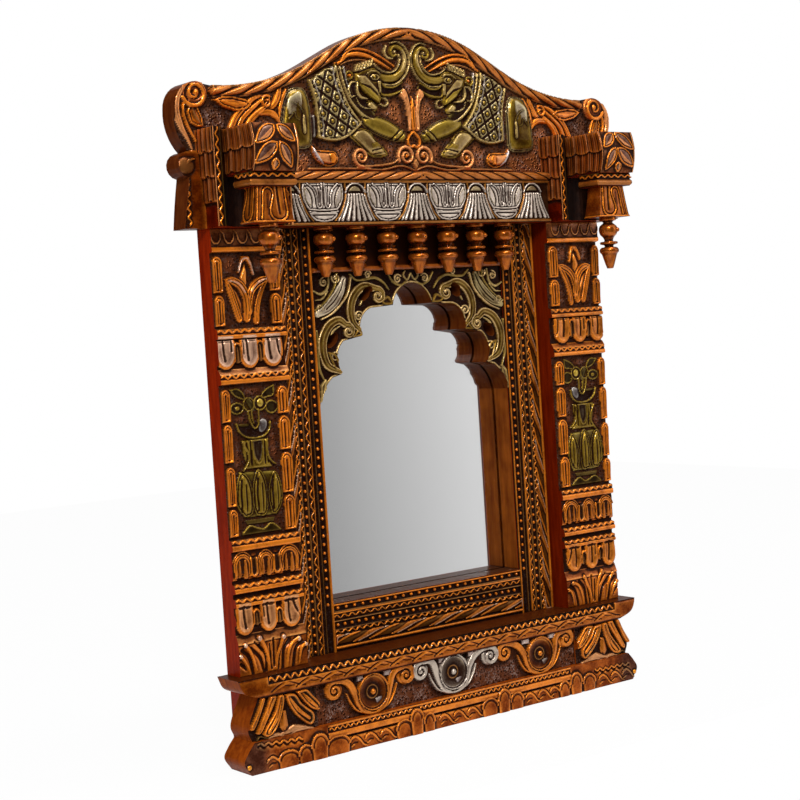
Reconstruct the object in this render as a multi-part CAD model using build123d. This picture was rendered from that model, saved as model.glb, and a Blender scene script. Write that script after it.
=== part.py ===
from build123d import *
import math
import os

os.makedirs("parts", exist_ok=True)

# Carved wooden wall mirror with a crest, a bracketed canopy and a moulded base.
# X runs to the right, Y runs back to the wall and Z runs up. The origin is the bottom
# centre of the whole object's box. Lengths are in millimetres, angles in degrees.

# Heights of the three tiers
base_height = 77.7
pilaster_height = 361.3
crest_height = 170.5
crest_bottom = base_height + pilaster_height
total_height = crest_bottom + crest_height

# Depths, measured forward from the glue plane between the carcass and the carved boards
canopy_reach = 83.0
carcass_depth = 27.0
crest_thickness = 21.0
crest_relief = 5.0
pilaster_thickness = 21.8
base_thickness = 33.0
moulding_thickness = 3.5
glue_y = (canopy_reach - carcass_depth) / 2
wall_y = glue_y + carcass_depth

# Carcass behind the boards
opening_half = 105.6
opening_bottom = 119.1
carcass_half = 195.0
carcass_top_drop = 64.5
carcass_height = total_height - carcass_top_drop
rebate_step = 8.0
rebate_front = 19.0
glass_thickness = 3.0
backing_thickness = 3.5
glass_clearance = 1.0
baluster_recess = 15.0
arch_top_drop = 38.0
arch_top = crest_bottom - arch_top_drop
arch_rail_height = 4.0
arch_rail_nose = 2.0
dowel_radius = 4.0
dowel_length = 40.0
fit_clearance = 0.05
dowel_edge = 22.0
pin_radius = 0.8
pin_length = 11.0
pins_per_side = 4

# Screws through the carcass into the boards
screw_radius = 1.9
screw_head_radius = 3.8
screw_head_depth = 3.0
screw_bite = 12.0
crest_screw_x = 85.0
crest_screw_rise = 45.0
pilaster_screw_x = 171.0
pilaster_screw_shares = (0.14, 0.5, 0.86)
base_screw_x = 150.0
base_screw_z = 44.0

# Keyhole hanger plates on the back
hanger_spacing = 300.0
hanger_top_drop = 30.0
hanger_z = carcass_height - hanger_top_drop
hanger_length = 44.0
hanger_width = 16.0
hanger_thickness = 1.6
keyhole_radius = 4.5
keyhole_slot_radius = 2.2
keyhole_slot_rise = 9.0
keyhole_pocket_depth = 9.0
keyhole_pocket_margin = 1.5
hanger_screw_offset = 16.0
hanger_screw_radius = 1.6
hanger_screw_head = 3.0
hanger_screw_cap = 0.6
hanger_screw_length = 12.0

# Mouldings around the opening
moulding_outer = 145.0
moulding_row_shares = (
    (0.065, 1.0), (0.19, 0.6), (0.34, 0.86), (0.53, 0.6), (0.67, 0.86), (0.88, 1.0), (0.93, 0.5), (1.0, 0.86)
)

# Arch panel: points of the right half as shares of the opening's half width and, down
# from the top, of the panel's height
arch_height = 115.0
arch_foot_shares = ((1.0, 1.0), (0.928, 0.843), (0.857, 0.778))
arch_cusp_one_shares = ((0.762, 0.757), (0.8, 0.635), (0.729, 0.513))
arch_cusp_two_shares = ((0.542, 0.483), (0.54, 0.365), (0.436, 0.278))
arch_cusp_three_shares = ((0.204, 0.265), (0.142, 0.157), (0.0, 0.1))
arch_hole_shares = ((0.475, 0.17), (0.83, 0.5))
arch_hole_length = 16.0
arch_hole_width = 9.5
arch_hole_tilt = 45.0

# Turned drops and balusters
drop_count = 7
drop_pitch = 33.2
drop_length = 42.6
drop_radius = 9.1
drop_setback = 14.5
drop_peg_radius = 3.0
drop_peg_length = 8.0
corner_drop_length = 47.0
corner_drop_radius = 8.8
baluster_count = 6
baluster_radius = 7.4
stud_radius = 2.1
stud_turns = (40.0, 40.0, 36.0, 14.0, 40.0, 45.0, 50.0)
corner_stud_turn = 40.0

# Pilasters
pilaster_inner = 147.2
pilaster_outer = 212.6
pilaster_ground = 5.0
tablet_width = 10.4
tablet_relief = 3.4
tablet_gap = 3.0

# Base boards
ledge_height = 17.0
plinth_height = 26.0
base_ledge_half = 222.5
base_neck_half = 202.0
base_bulge_half = 213.0
base_lobe_half = 221.0
ledge_end_share = (0.72, 0.35)
neck_bulge_share = 0.33
plinth_end_shares = ((0.972, 0.0), (1.0, 0.4), (0.98, 0.72), (0.952, 1.0))
base_corner_inner = 146.0
base_frieze_ground = 7.0
base_ledge_groove = 1.6
ledge_band = 7.0
rosette_xs = (-88.0, 0.0, 101.0)
rosette_radius = 16.2
rosette_relief = 5.4
rosette_ring = 3.0
rosette_dish = 4.0
rosette_boss = 4.0
plinth_groove = 1.6
plinth_groove_z = 12.5
plinth_band_z = 19.0
lobe_radius = 7.5
lobe_relief = 2.2
lobe_rise = 16.0
lobe_xs = (-148.0, -45.0, 53.0, 148.0)

# Crest board
crest_half = 236.5
ogee_angle = 27.5
crown_share = 0.7146
ogee_straight_share = 0.1332
ogee_hollow_share = 0.8584
volute_share = 0.0888
crown_radius = crown_share * crest_half
ogee_straight = ogee_straight_share * crest_half
ogee_hollow_radius = ogee_hollow_share * crest_half
volute_radius = volute_share * crest_half
crest_notch_inset = 11.5
crest_notch_rise = 61.0
knob_rise = 49.0
heel_inset = 8.5
heel_rise = 40.5
lobe_inset = 2.5
shoulder_bow_inset = 1.7
shoulder_bow_rise = 78.0
rope_half_width = 4.4
rope_relief = 6.2
rope_inset = 4.8
rope_end_inset = 30.5

# Canopy
frieze_thickness = 12.0
frieze_height = 38.0
frieze_rim = 2.0
frieze_recess = 1.6
canopy_rope_height = 7.4
canopy_rope_relief = 14.0
bracket_end_inset = 18.1
bracket_width = 71.0
bracket_outer = crest_half - bracket_end_inset
bracket_inner = bracket_outer - bracket_width
bracket_reach = 43.5
bracket_height = 78.0
bracket_lip = 7.0
bracket_flute = 14.0
bracket_tiers = 3
bracket_tier_height = 19.5
bracket_tier_step = 1.5
shingle_radius = 1.3
shingles_per_side = 5
block_inner_inset = 16.6
block_outer_inset = 12.7
block_inner = bracket_inner + block_inner_inset
block_outer = bracket_outer - block_outer_inset
block_bottom_rise = 39.5
block_height = 36.9
block_bulge = 4.0
bell_half = 19.4
bell_front = 73.4
bell_back = 53.0
bell_taper = 4.0
bell_height = 28.0
ledge_round = 2.6
bell_x = (block_inner + block_outer) / 2
corner_drop_setback = (bell_front + bell_back) / 2

parts = {}


def box(x0, x1, y0, y1, z0, z1):
    """A box between two corners."""
    size = (x1 - x0, y1 - y0, z1 - z0)
    return Pos((x0 + x1) / 2, (y0 + y1) / 2, (z0 + z1) / 2) * Box(*size)


def rod(x, y, z, radius, length, axis):
    """A round bar that starts at a point and runs along an axis."""
    turn = {"x": Rot(0, 90, 0), "y": Rot(-90, 0, 0), "z": Rot(0, 0, 0)}[axis]
    return Pos(x, y, z) * turn * Cylinder(radius, length, align=(Align.CENTER, Align.CENTER, Align.MIN))


def board(outline, back, front):
    """A closed outline in X and Z made into a board between two Y planes."""
    return Plane.XZ.offset(-back) * extrude(make_face(outline), back - front)


def along_x(outline, x0, x1):
    """A closed outline in Y and Z drawn along X."""
    return Plane.YZ.offset(x0) * extrude(make_face(outline), x1 - x0)


def plan(outline, z0, z1):
    """A closed outline in X and Y drawn up from z0 to z1."""
    return Plane.XY.offset(z0) * extrude(make_face(outline), z1 - z0)


def loop(*curves):
    """Curves that meet end to end, joined into one wire."""
    return Wire([edge for curve in curves for edge in curve.edges()])


def mirrored(shape):
    return mirror(shape, about=Plane.YZ)


def pair(name, right):
    """The right-hand piece and its mirror image, as two nodes."""
    parts[name + "_right"] = right
    parts[name + "_left"] = mirrored(right)


def add_screws():
    """Where the screws sit: x, z and how far each may enter its board."""
    places = [(side * crest_screw_x, crest_bottom + crest_screw_rise) for side in (-1, 0, 1)]
    for side in (-1, 1):
        for share in pilaster_screw_shares:
            places.append((side * pilaster_screw_x, base_height + share * pilaster_height))
        places.append((side * base_screw_x, base_screw_z))
    places.append((0, base_screw_z))
    return places


def screw(x, z, slack):
    """A countersunk wood screw driven forward from the back of the carcass."""
    length = carcass_depth + screw_bite + slack
    shank = rod(x, wall_y - length, z, screw_radius + slack, length, "y")
    head = Pos(x, wall_y - screw_head_depth / 2, z) * Rot(-90, 0, 0) * Cone(
        screw_radius + slack, screw_head_radius + slack, screw_head_depth
    )
    return shank + head


def screw_holes(shape, x_low, x_high, z_low, z_high):
    """Bore a piece for the screws that pass through it."""
    for x, z in add_screws():
        if x_low < x < x_high and z_low < z < z_high:
            shape -= screw(x, z, fit_clearance)
    return shape


def dowel_places():
    """Centres of the dowels across the four joints of the carcass."""
    rails = ((0, opening_bottom), (crest_bottom, carcass_height))
    places = []
    for low, high in rails:
        for end in (low + dowel_edge, high - dowel_edge):
            for side in (-1, 1):
                places.append((side * opening_half, end))
    return places


def dowel(x, z, slack):
    y = glue_y + rebate_front / 2
    return rod(x - dowel_length / 2 - slack, y, z, dowel_radius + slack, dowel_length + 2 * slack, "x")


def dowel_holes(shape, side):
    for x, z in dowel_places():
        if side == 0 or side * x > 0:
            shape -= dowel(x, z, fit_clearance)
    return shape


def build_carcass():
    """Two stiles and two rails, rebated at the back for the glass and its board."""
    rebate_low = opening_bottom - rebate_step
    rebate_high = arch_top + arch_rail_height + rebate_step
    half = opening_half + rebate_step
    rebate = box(-half, half, glue_y + rebate_front, wall_y, rebate_low, rebate_high)

    stile = box(opening_half, carcass_half, glue_y, wall_y, 0, carcass_height) - rebate
    plate_half = hanger_width / 2
    x = hanger_spacing / 2
    seat = box(
        x - plate_half, x + plate_half, wall_y - hanger_thickness, wall_y,
        hanger_z - hanger_length / 2, hanger_z + hanger_length / 2,
    )
    pocket_half = keyhole_radius + keyhole_pocket_margin
    pocket = box(
        x - pocket_half, x + pocket_half, wall_y - keyhole_pocket_depth, wall_y,
        hanger_z - pocket_half, hanger_z + keyhole_slot_rise + pocket_half,
    )
    stile -= seat + pocket
    for z in hanger_screw_places():
        stile -= hanger_screw(x, z, fit_clearance)
    stile = screw_holes(stile, opening_half, carcass_half, 0, carcass_height)
    stile = dowel_holes(stile, 1)
    for z in pin_heights():
        stile -= glazing_pin(1, z, fit_clearance)
    pair("carcass_stile", stile)

    low = box(-opening_half, opening_half, glue_y, wall_y, 0, opening_bottom) - rebate
    low = screw_holes(dowel_holes(low, 0), -opening_half, opening_half, 0, opening_bottom)
    parts["carcass_rail_bottom"] = low

    rail_bottom = arch_top + arch_rail_height
    high = box(-opening_half, opening_half, glue_y, wall_y, rail_bottom, carcass_height) - rebate
    recess = box(-opening_half, opening_half, glue_y, glue_y + baluster_recess, rail_bottom, crest_bottom)
    high = dowel_holes(high - recess, 0)
    parts["carcass_rail_top"] = screw_holes(high, -opening_half, opening_half, rail_bottom, carcass_height)

    dowels = [dowel(x, z, 0) for x, z in dowel_places()]
    parts["carcass_dowels"] = Compound(children=dowels)


def pin_heights():
    low = opening_bottom
    span = arch_top - opening_bottom
    return [low + span * (n + 1) / (pins_per_side + 1) for n in range(pins_per_side)]


def glazing_pin(side, z, slack):
    """A headless pin driven into a stile behind the backing board."""
    y = glue_y + rebate_front + glass_thickness + backing_thickness + pin_radius
    start = opening_half + rebate_step - pin_length / 2
    pin = rod(start - slack, y, z, pin_radius + slack, pin_length + 2 * slack, "x")
    return pin if side > 0 else mirrored(pin)


def build_glass():
    """Mirror glass and its backing board, held in the rebate by pins."""
    half = opening_half + rebate_step - glass_clearance
    low = opening_bottom - rebate_step + glass_clearance
    high = arch_top + arch_rail_height + rebate_step - glass_clearance
    front = glue_y + rebate_front
    back = front + glass_thickness
    parts["mirror_glass"] = box(-half, half, front, back, low, high)
    parts["backing_board"] = box(-half, half, back, back + backing_thickness, low, high)
    pins = [glazing_pin(side, z, 0) for side in (-1, 1) for z in pin_heights()]
    parts["glazing_pins"] = Compound(children=pins)


def hanger_screw_places():
    return (hanger_z - hanger_screw_offset, hanger_z + hanger_screw_offset)


def hanger_screw(x, z, slack):
    start = wall_y - hanger_screw_length - slack
    length = hanger_screw_length - hanger_screw_cap + slack
    head = rod(x, wall_y - hanger_screw_cap, z, hanger_screw_head + slack, hanger_screw_cap, "y")
    return rod(x, start, z, hanger_screw_radius + slack, length, "y") + head


def build_hangers():
    """Flush steel keyhole plates, each let into a stile over a pocket."""
    x = hanger_spacing / 2
    plate = box(
        x - hanger_width / 2, x + hanger_width / 2, wall_y - hanger_thickness, wall_y,
        hanger_z - hanger_length / 2, hanger_z + hanger_length / 2,
    )
    corners = plate.edges().filter_by(Axis.Y)
    plate = fillet(corners, hanger_width / 4)
    through = hanger_thickness
    entry = rod(x, wall_y - through, hanger_z, keyhole_radius, through, "y")
    top = hanger_z + keyhole_slot_rise
    slot = box(x - keyhole_slot_radius, x + keyhole_slot_radius, wall_y - through, wall_y, hanger_z, top)
    slot += rod(x, wall_y - through, top, keyhole_slot_radius, through, "y")
    plate -= entry + slot
    for z in hanger_screw_places():
        plate -= hanger_screw(x, z, fit_clearance)
    pair("hanger_plate", plate)
    screws = [hanger_screw(side * x, z, 0) for side in (-1, 1) for z in hanger_screw_places()]
    parts["hanger_screws"] = Compound(children=screws)
    parts["board_screws"] = Compound(children=[screw(x, z, 0) for x, z in add_screws()])


def moulding_profile(width):
    """Section of the moulding: u runs out from the opening, v stands off the carcass."""
    points = [(0, 0)]
    start = 0
    for end, height in moulding_row_shares:
        points.append((start * width, height * moulding_thickness))
        points.append((end * width, height * moulding_thickness))
        start = end
    points.append((width, 0))
    return Polyline(*points, close=True)


def build_mouldings():
    """Rows of flats and channels round the opening, which carry the beads and leaves."""
    upright = make_face(moulding_profile(moulding_outer - opening_half))
    section = Plane((opening_half, glue_y, base_height), x_dir=(1, 0, 0), z_dir=(0, 0, -1)) * upright
    pair("inner_moulding", extrude(section, -pilaster_height))
    level = make_face(moulding_profile(opening_bottom - base_height))
    section = Plane((-opening_half, glue_y, opening_bottom), x_dir=(0, 0, -1), z_dir=(-1, 0, 0)) * level
    parts["inner_moulding_bottom"] = extrude(section, -2 * opening_half)


def arch_arc(shares):
    """One lobe of the arch, through three points given as shares."""
    return ThreePointArc(*[arch_point(share) for share in shares])


def arch_point(share):
    return share[0] * opening_half, arch_top - share[1] * arch_height


def build_arch():
    """Pierced spandrel panel with a cusped arch, and the rail that caps it."""
    back = glue_y + rebate_front
    lobes = (arch_foot_shares, arch_cusp_one_shares, arch_cusp_two_shares, arch_cusp_three_shares)
    curves = [arch_arc(shares) for shares in lobes]
    steps = [Line(first @ 1, second @ 0) for first, second in zip(curves[:-1], curves[1:])]
    rim = Polyline(curves[-1] @ 1, (0, arch_top), (opening_half, arch_top), curves[0] @ 0)
    half = board(loop(*curves, *steps, rim), back, glue_y)
    for share in arch_hole_shares:
        x, z = arch_point(share)
        hole = Pos(x, z) * Rot(0, 0, -arch_hole_tilt) * Ellipse(arch_hole_length / 2, arch_hole_width / 2)
        half -= Plane.XZ.offset(-back) * extrude(hole, back - glue_y)
    parts["arch_panel"] = half + mirrored(half)
    front = glue_y - moulding_thickness - arch_rail_nose
    section = nosed_section(front, glue_y + baluster_recess, arch_top, arch_top + arch_rail_height)
    parts["arch_rail"] = along_x(section, -opening_half, opening_half)


def nosed_section(front, back, low, high):
    """A strip with a half-round front edge, in Y and Z."""
    middle = (low + high) / 2
    start = front + (high - low) / 2
    straight = Polyline((start, high), (back, high), (back, low), (start, low))
    return loop(straight, ThreePointArc((start, low), (front, middle), (start, high)))


# Turned section, from the top down: height share, radius share and half-thickness share
# of each bead, then the core between them and the plain cone at the tip.
drop_bead_shares = ((0.04, 0.88, 0.04), (0.245, 0.9, 0.11), (0.5, 0.97, 0.045), (0.655, 1.0, 0.055))
drop_core_shares = ((0.0, 0.6), (0.33, 0.62), (0.42, 0.45), (0.66, 0.55), (0.67, 0.84), (1.0, 0.34))
baluster_bead_shares = (
    (0.04, 0.95, 0.04), (0.3, 0.95, 0.1), (0.5, 1.0, 0.05), (0.72, 1.0, 0.05), (0.96, 1.0, 0.04)
)
baluster_core_shares = ((0.0, 0.6), (0.3, 0.7), (0.42, 0.5), (0.72, 0.55), (0.8, 0.7), (1.0, 0.7))


def turning(length, radius, beads, core):
    """A turned piece hanging down from the origin."""
    points = [(0, 0)] + [(r * radius, -h * length) for h, r in core] + [(0, -length)]
    section = make_face(Polyline(*points, close=True))
    for height, reach, half in beads:
        thick = half * length
        rim = min(thick, reach * radius)
        section += Pos(reach * radius - rim, -height * length) * Ellipse(rim, thick)
        flat = Pos((reach * radius - rim) / 2, -height * length) * Rectangle(reach * radius - rim, 2 * thick)
        section += flat
    right_half = Pos(radius, -length / 2) * Rectangle(2 * radius, 2 * length)
    return revolve(Plane.XZ * (section & right_half), Axis.Z)


def hanging_drop(length, radius, stud_turn):
    """A drop with its peg on top and a stud on its ball."""
    body = turning(length, radius, drop_bead_shares, drop_core_shares)
    body += rod(0, 0, 0, drop_peg_radius, drop_peg_length, "z")
    height, reach, _ = drop_bead_shares[1]
    stud = Rot(0, 0, stud_turn) * Pos(0, -reach * radius, -height * length) * Sphere(stud_radius)
    return body + stud


def drop_xs():
    return [(n - (drop_count - 1) / 2) * drop_pitch for n in range(drop_count)]


def build_turnings():
    """Front drops, corner drops and the row of balusters behind them."""
    y = glue_y - drop_setback
    for number, (x, turn) in enumerate(zip(drop_xs(), stud_turns), start=1):
        drop = hanging_drop(drop_length, drop_radius, turn)
        parts[f"front_drop_{number}"] = Pos(x, y, crest_bottom) * drop
    corner = hanging_drop(corner_drop_length, corner_drop_radius, corner_stud_turn)
    place = Pos(bell_x, glue_y - corner_drop_setback, crest_bottom)
    parts["corner_drop_right"] = place * corner
    place = Pos(-bell_x, glue_y - corner_drop_setback, crest_bottom)
    parts["corner_drop_left"] = place * corner
    height = crest_bottom - arch_top - arch_rail_height
    post = turning(height, baluster_radius, baluster_bead_shares, baluster_core_shares)
    for n in range(baluster_count):
        x = (n - (baluster_count - 1) / 2) * drop_pitch
        parts[f"back_baluster_{n + 1}"] = Pos(x, glue_y + baluster_recess / 2, crest_bottom) * post


# Pilaster layout from the bottom up, as shares of its height: low, high and kind
pilaster_band_shares = (
    (0.0, 0.088, "foot"),
    (0.088, 0.157, "petals"),
    (0.157, 0.177, "ledge"),
    (0.183, 0.21, "ledge"),
    (0.213, 0.284, "petals"),
    (0.284, 0.314, "ledge"),
    (0.65, 0.674, "ledge"),
    (0.674, 0.753, "petals"),
    (0.753, 0.781, "ledge"),
    (0.952, 1.0, "cap"),
)
tablet_stack_shares = ((0.314, 0.65, 4), (0.781, 0.945, 2))
band_relief_shares = {"foot": 0.9, "petals": 0.85, "ledge": 1.0, "cap": 0.8}


def band_section(front, low, high, kind):
    """Front edge of one carved band in Y and Z."""
    ground = glue_y - pilaster_thickness + pilaster_ground
    middle = (low + high) / 2
    reach = front + pilaster_ground * (1 - band_relief_shares[kind])
    back = ground + pilaster_ground
    if kind == "ledge":
        curve = ThreePointArc((ground, low), (front, middle), (ground, high))
        return loop(curve, Polyline((ground, high), (back, high), (back, low), (ground, low)))
    return Polyline((reach, low), (reach, high), (back, high), (back, low), close=True)


def tablet(x0, x1, low, high):
    """A raised leaf tablet with an arched top."""
    radius = (x1 - x0) / 2
    middle = (x0 + x1) / 2
    arch = ThreePointArc((x0, high - radius), (middle, high), (x1, high - radius))
    outline = loop(arch, Polyline((x1, high - radius), (x1, low), (x0, low), (x0, high - radius)))
    back = glue_y - pilaster_thickness + pilaster_ground
    return board(outline, back, back - tablet_relief)


def build_pilasters():
    """Each pilaster is one board with raised ledges, petal bands and edge tablets."""
    front = glue_y - pilaster_thickness
    ground = front + pilaster_ground
    x0, x1 = pilaster_inner, pilaster_outer
    top = base_height + pilaster_height
    body = box(x0, x1, ground, glue_y, base_height, top)
    for low_share, high_share, kind in pilaster_band_shares:
        low = base_height + low_share * pilaster_height
        high = base_height + high_share * pilaster_height
        body += along_x(band_section(front, low, high, kind), x0, x1)
    for low_share, high_share, count in tablet_stack_shares:
        low = base_height + low_share * pilaster_height
        step = (high_share - low_share) * pilaster_height / count
        for n in range(count):
            z0 = low + n * step
            z1 = z0 + step - tablet_gap
            body += tablet(x0, x0 + tablet_width, z0, z1)
            body += tablet(x1 - tablet_width, x1, z0, z1)
    body = screw_holes(body, x0, x1, base_height, top)
    pair("pilaster", body)


def sawn_end(points):
    """Right-hand outline of a base board from its sawn end points, closed on the left."""
    left = [(-x, z) for x, z in points]
    return loop(Spline(*points), Spline(*left), Line(points[0], left[0]), Line(points[-1], left[-1]))


def build_base():
    """Ledge, frieze with two corner blocks, and plinth, all sawn to one end profile."""
    front = glue_y - base_thickness
    ledge_low = base_height - ledge_height
    out_share, up_share = ledge_end_share
    hollow_x = base_neck_half + (base_ledge_half - base_neck_half) * out_share
    hollow = (hollow_x, ledge_low + ledge_height * up_share)
    ends = [(base_neck_half, ledge_low), hollow, (base_ledge_half, base_height)]
    ledge = board(sawn_end(ends), glue_y, front)
    cut_z = base_height - ledge_band
    groove = Pos(0, front, cut_z) * Rot(0, 90, 0) * Cylinder(base_ledge_groove, 2 * base_ledge_half)
    parts["base_ledge"] = ledge - groove

    low, high = plinth_height, ledge_low
    ground = front + base_frieze_ground
    inner = base_corner_inner
    frieze = box(-inner, inner, ground, glue_y, low, high)
    middle = (low + high) / 2
    outer = rosette_radius
    for x in rosette_xs:
        ring = rod(x, ground - rosette_relief, middle, outer, rosette_relief, "y")
        dish = Pos(x, ground - rosette_relief, middle) * Rot(90, 0, 0) * Cone(
            outer - rosette_ring - rosette_dish, outer - rosette_ring, 2 * rosette_dish,
        )
        ring -= dish
        ring += rod(x, ground - rosette_boss, middle, rosette_boss, rosette_boss, "y")
        frieze += ring
    frieze = screw_holes(frieze, -inner, inner, low, high)
    parts["base_frieze"] = frieze

    bulge = (base_bulge_half, low + (high - low) * neck_bulge_share)
    waist = plinth_end_shares[-1][0] * base_lobe_half
    edge = Spline((waist, low), bulge, (base_neck_half, high))
    outline = loop(edge, Polyline((base_neck_half, high), (inner, high), (inner, low), (waist, low)))
    corner = board(outline, glue_y, front)
    pair("base_corner", screw_holes(corner, inner, base_bulge_half, low, high))

    lobes = [(out * base_lobe_half, up * plinth_height) for out, up in plinth_end_shares]
    plinth = board(sawn_end(lobes), glue_y, front)
    for z in (plinth_groove_z, plinth_band_z):
        plinth -= Pos(0, front, z) * Rot(0, 90, 0) * Cylinder(plinth_groove, 2 * base_lobe_half)
    for x in lobe_xs:
        tip, root = front - lobe_relief, front + plinth_groove
        hump = rod(x, tip, lobe_rise, lobe_radius, root - tip, "y")
        hump += box(x - lobe_radius, x + lobe_radius, tip, root, 0, lobe_rise)
        plinth += hump
    parts["base_plinth"] = plinth


def crest_face():
    """Y of the sunk ground of the crest, which the canopy is glued to."""
    return glue_y - crest_thickness + crest_relief


def peg_holes(shape):
    """Bore a piece for the pegs of the front drops."""
    radius = drop_peg_radius + fit_clearance
    for x in drop_xs():
        shape -= rod(x, glue_y - drop_setback, crest_bottom, radius, drop_peg_length + fit_clearance, "z")
    return shape


def crest_top_points():
    """Joints of the ogee along the top, from the middle to the shoulder."""
    turn = math.radians(ogee_angle)
    sine, cosine = math.sin(turn), math.cos(turn)
    one = (crown_radius * sine, total_height - crown_radius * (1 - cosine))
    two = (one[0] + ogee_straight * cosine, one[1] - ogee_straight * sine)
    three = (two[0] + ogee_hollow_radius * sine, two[1] - ogee_hollow_radius * (1 - cosine))
    return one, two, three


def hollow_middle(two, radius):
    """A point half way round the hollow of the ogee."""
    whole = math.radians(ogee_angle)
    half = whole / 2
    x = two[0] + radius * (math.sin(whole) - math.sin(half))
    z = two[1] - radius * (math.cos(half) - math.cos(whole))
    return x, z


def build_crest():
    """Crest board with an ogee top and scrolled ends, and the rope along its top."""
    one, two, three = crest_top_points()
    half_turn = math.radians(ogee_angle) / 2
    crown_mid = (crown_radius * math.sin(half_turn), total_height - crown_radius * (1 - math.cos(half_turn)))
    z = crest_bottom
    volute_x = crest_half - volute_radius
    volute_top = (volute_x, three[1] + ledge_round)
    eye_z = volute_top[1] - volute_radius
    diagonal = volute_radius * math.sqrt(0.5)
    shoulder = (crest_half - shoulder_bow_inset, z + shoulder_bow_rise)
    notch = (crest_half - crest_notch_inset, z + crest_notch_rise)
    heel = (crest_half - heel_inset, z + heel_rise)
    lobe_half = crest_half - lobe_inset
    heel_bow = (lobe_half - ledge_round, z + heel_rise / 2)
    rope_end = crest_half - rope_end_inset
    edges = [
        Line((0, z), (0, total_height)),
        ThreePointArc((0, total_height), crown_mid, one),
        Line(one, two),
        ThreePointArc(two, hollow_middle(two, ogee_hollow_radius), three),
        Line(three, volute_top),
        ThreePointArc(volute_top, (volute_x + diagonal, eye_z + diagonal), (crest_half, eye_z)),
        ThreePointArc((crest_half, eye_z), shoulder, notch),
        ThreePointArc(notch, (crest_half, z + knob_rise), heel),
        ThreePointArc(heel, heel_bow, (lobe_half, z)),
        Line((lobe_half, z), (0, z)),
    ]
    outline = loop(*edges)
    half = board(outline, glue_y, crest_face())
    cheek = board(outline, crest_face(), glue_y - crest_thickness)
    cheek &= box(rope_end, crest_half, glue_y - crest_thickness, glue_y, z, total_height)
    cheek -= box(0, bracket_outer, glue_y - crest_thickness, glue_y, z, z + bracket_height)
    half += cheek
    crest = peg_holes(half + mirrored(half))
    parts["crest_board"] = screw_holes(crest, -crest_half, crest_half, z, total_height)

    rope_one, rope_two, rope_three = rope_points(one, two, three)
    inner_crown = crown_radius - rope_inset
    rope_top = total_height - rope_inset
    rope_mid = (inner_crown * math.sin(half_turn), rope_top - inner_crown * (1 - math.cos(half_turn)))
    outer_hollow = ogee_hollow_radius + rope_inset
    path = loop(
        ThreePointArc((0, rope_top), rope_mid, rope_one),
        Line(rope_one, rope_two),
        ThreePointArc(rope_two, hollow_middle(rope_two, outer_hollow), rope_three),
        Line(rope_three, (rope_end, rope_three[1])),
    )
    path = Plane.XZ.offset(-crest_face()) * path
    start = Plane((0, crest_face(), rope_top), x_dir=(0, -1, 0), z_dir=(1, 0, 0))
    front_half = Pos(rope_relief / 2, 0) * Rectangle(rope_relief, 2 * rope_half_width)
    dee = Ellipse(rope_relief, rope_half_width) & front_half
    rope = sweep(start * dee, path)
    parts["crest_rope"] = rope + mirrored(rope)


def rope_points(one, two, three):
    """The ogee's joints moved inward to the rope's centre line."""
    turn = math.radians(ogee_angle)
    shift = (-rope_inset * math.sin(turn), -rope_inset * math.cos(turn))
    inner_one = (one[0] + shift[0], one[1] + shift[1])
    inner_two = (two[0] + shift[0], two[1] + shift[1])
    return inner_one, inner_two, (three[0], three[1] - rope_inset)


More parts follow.
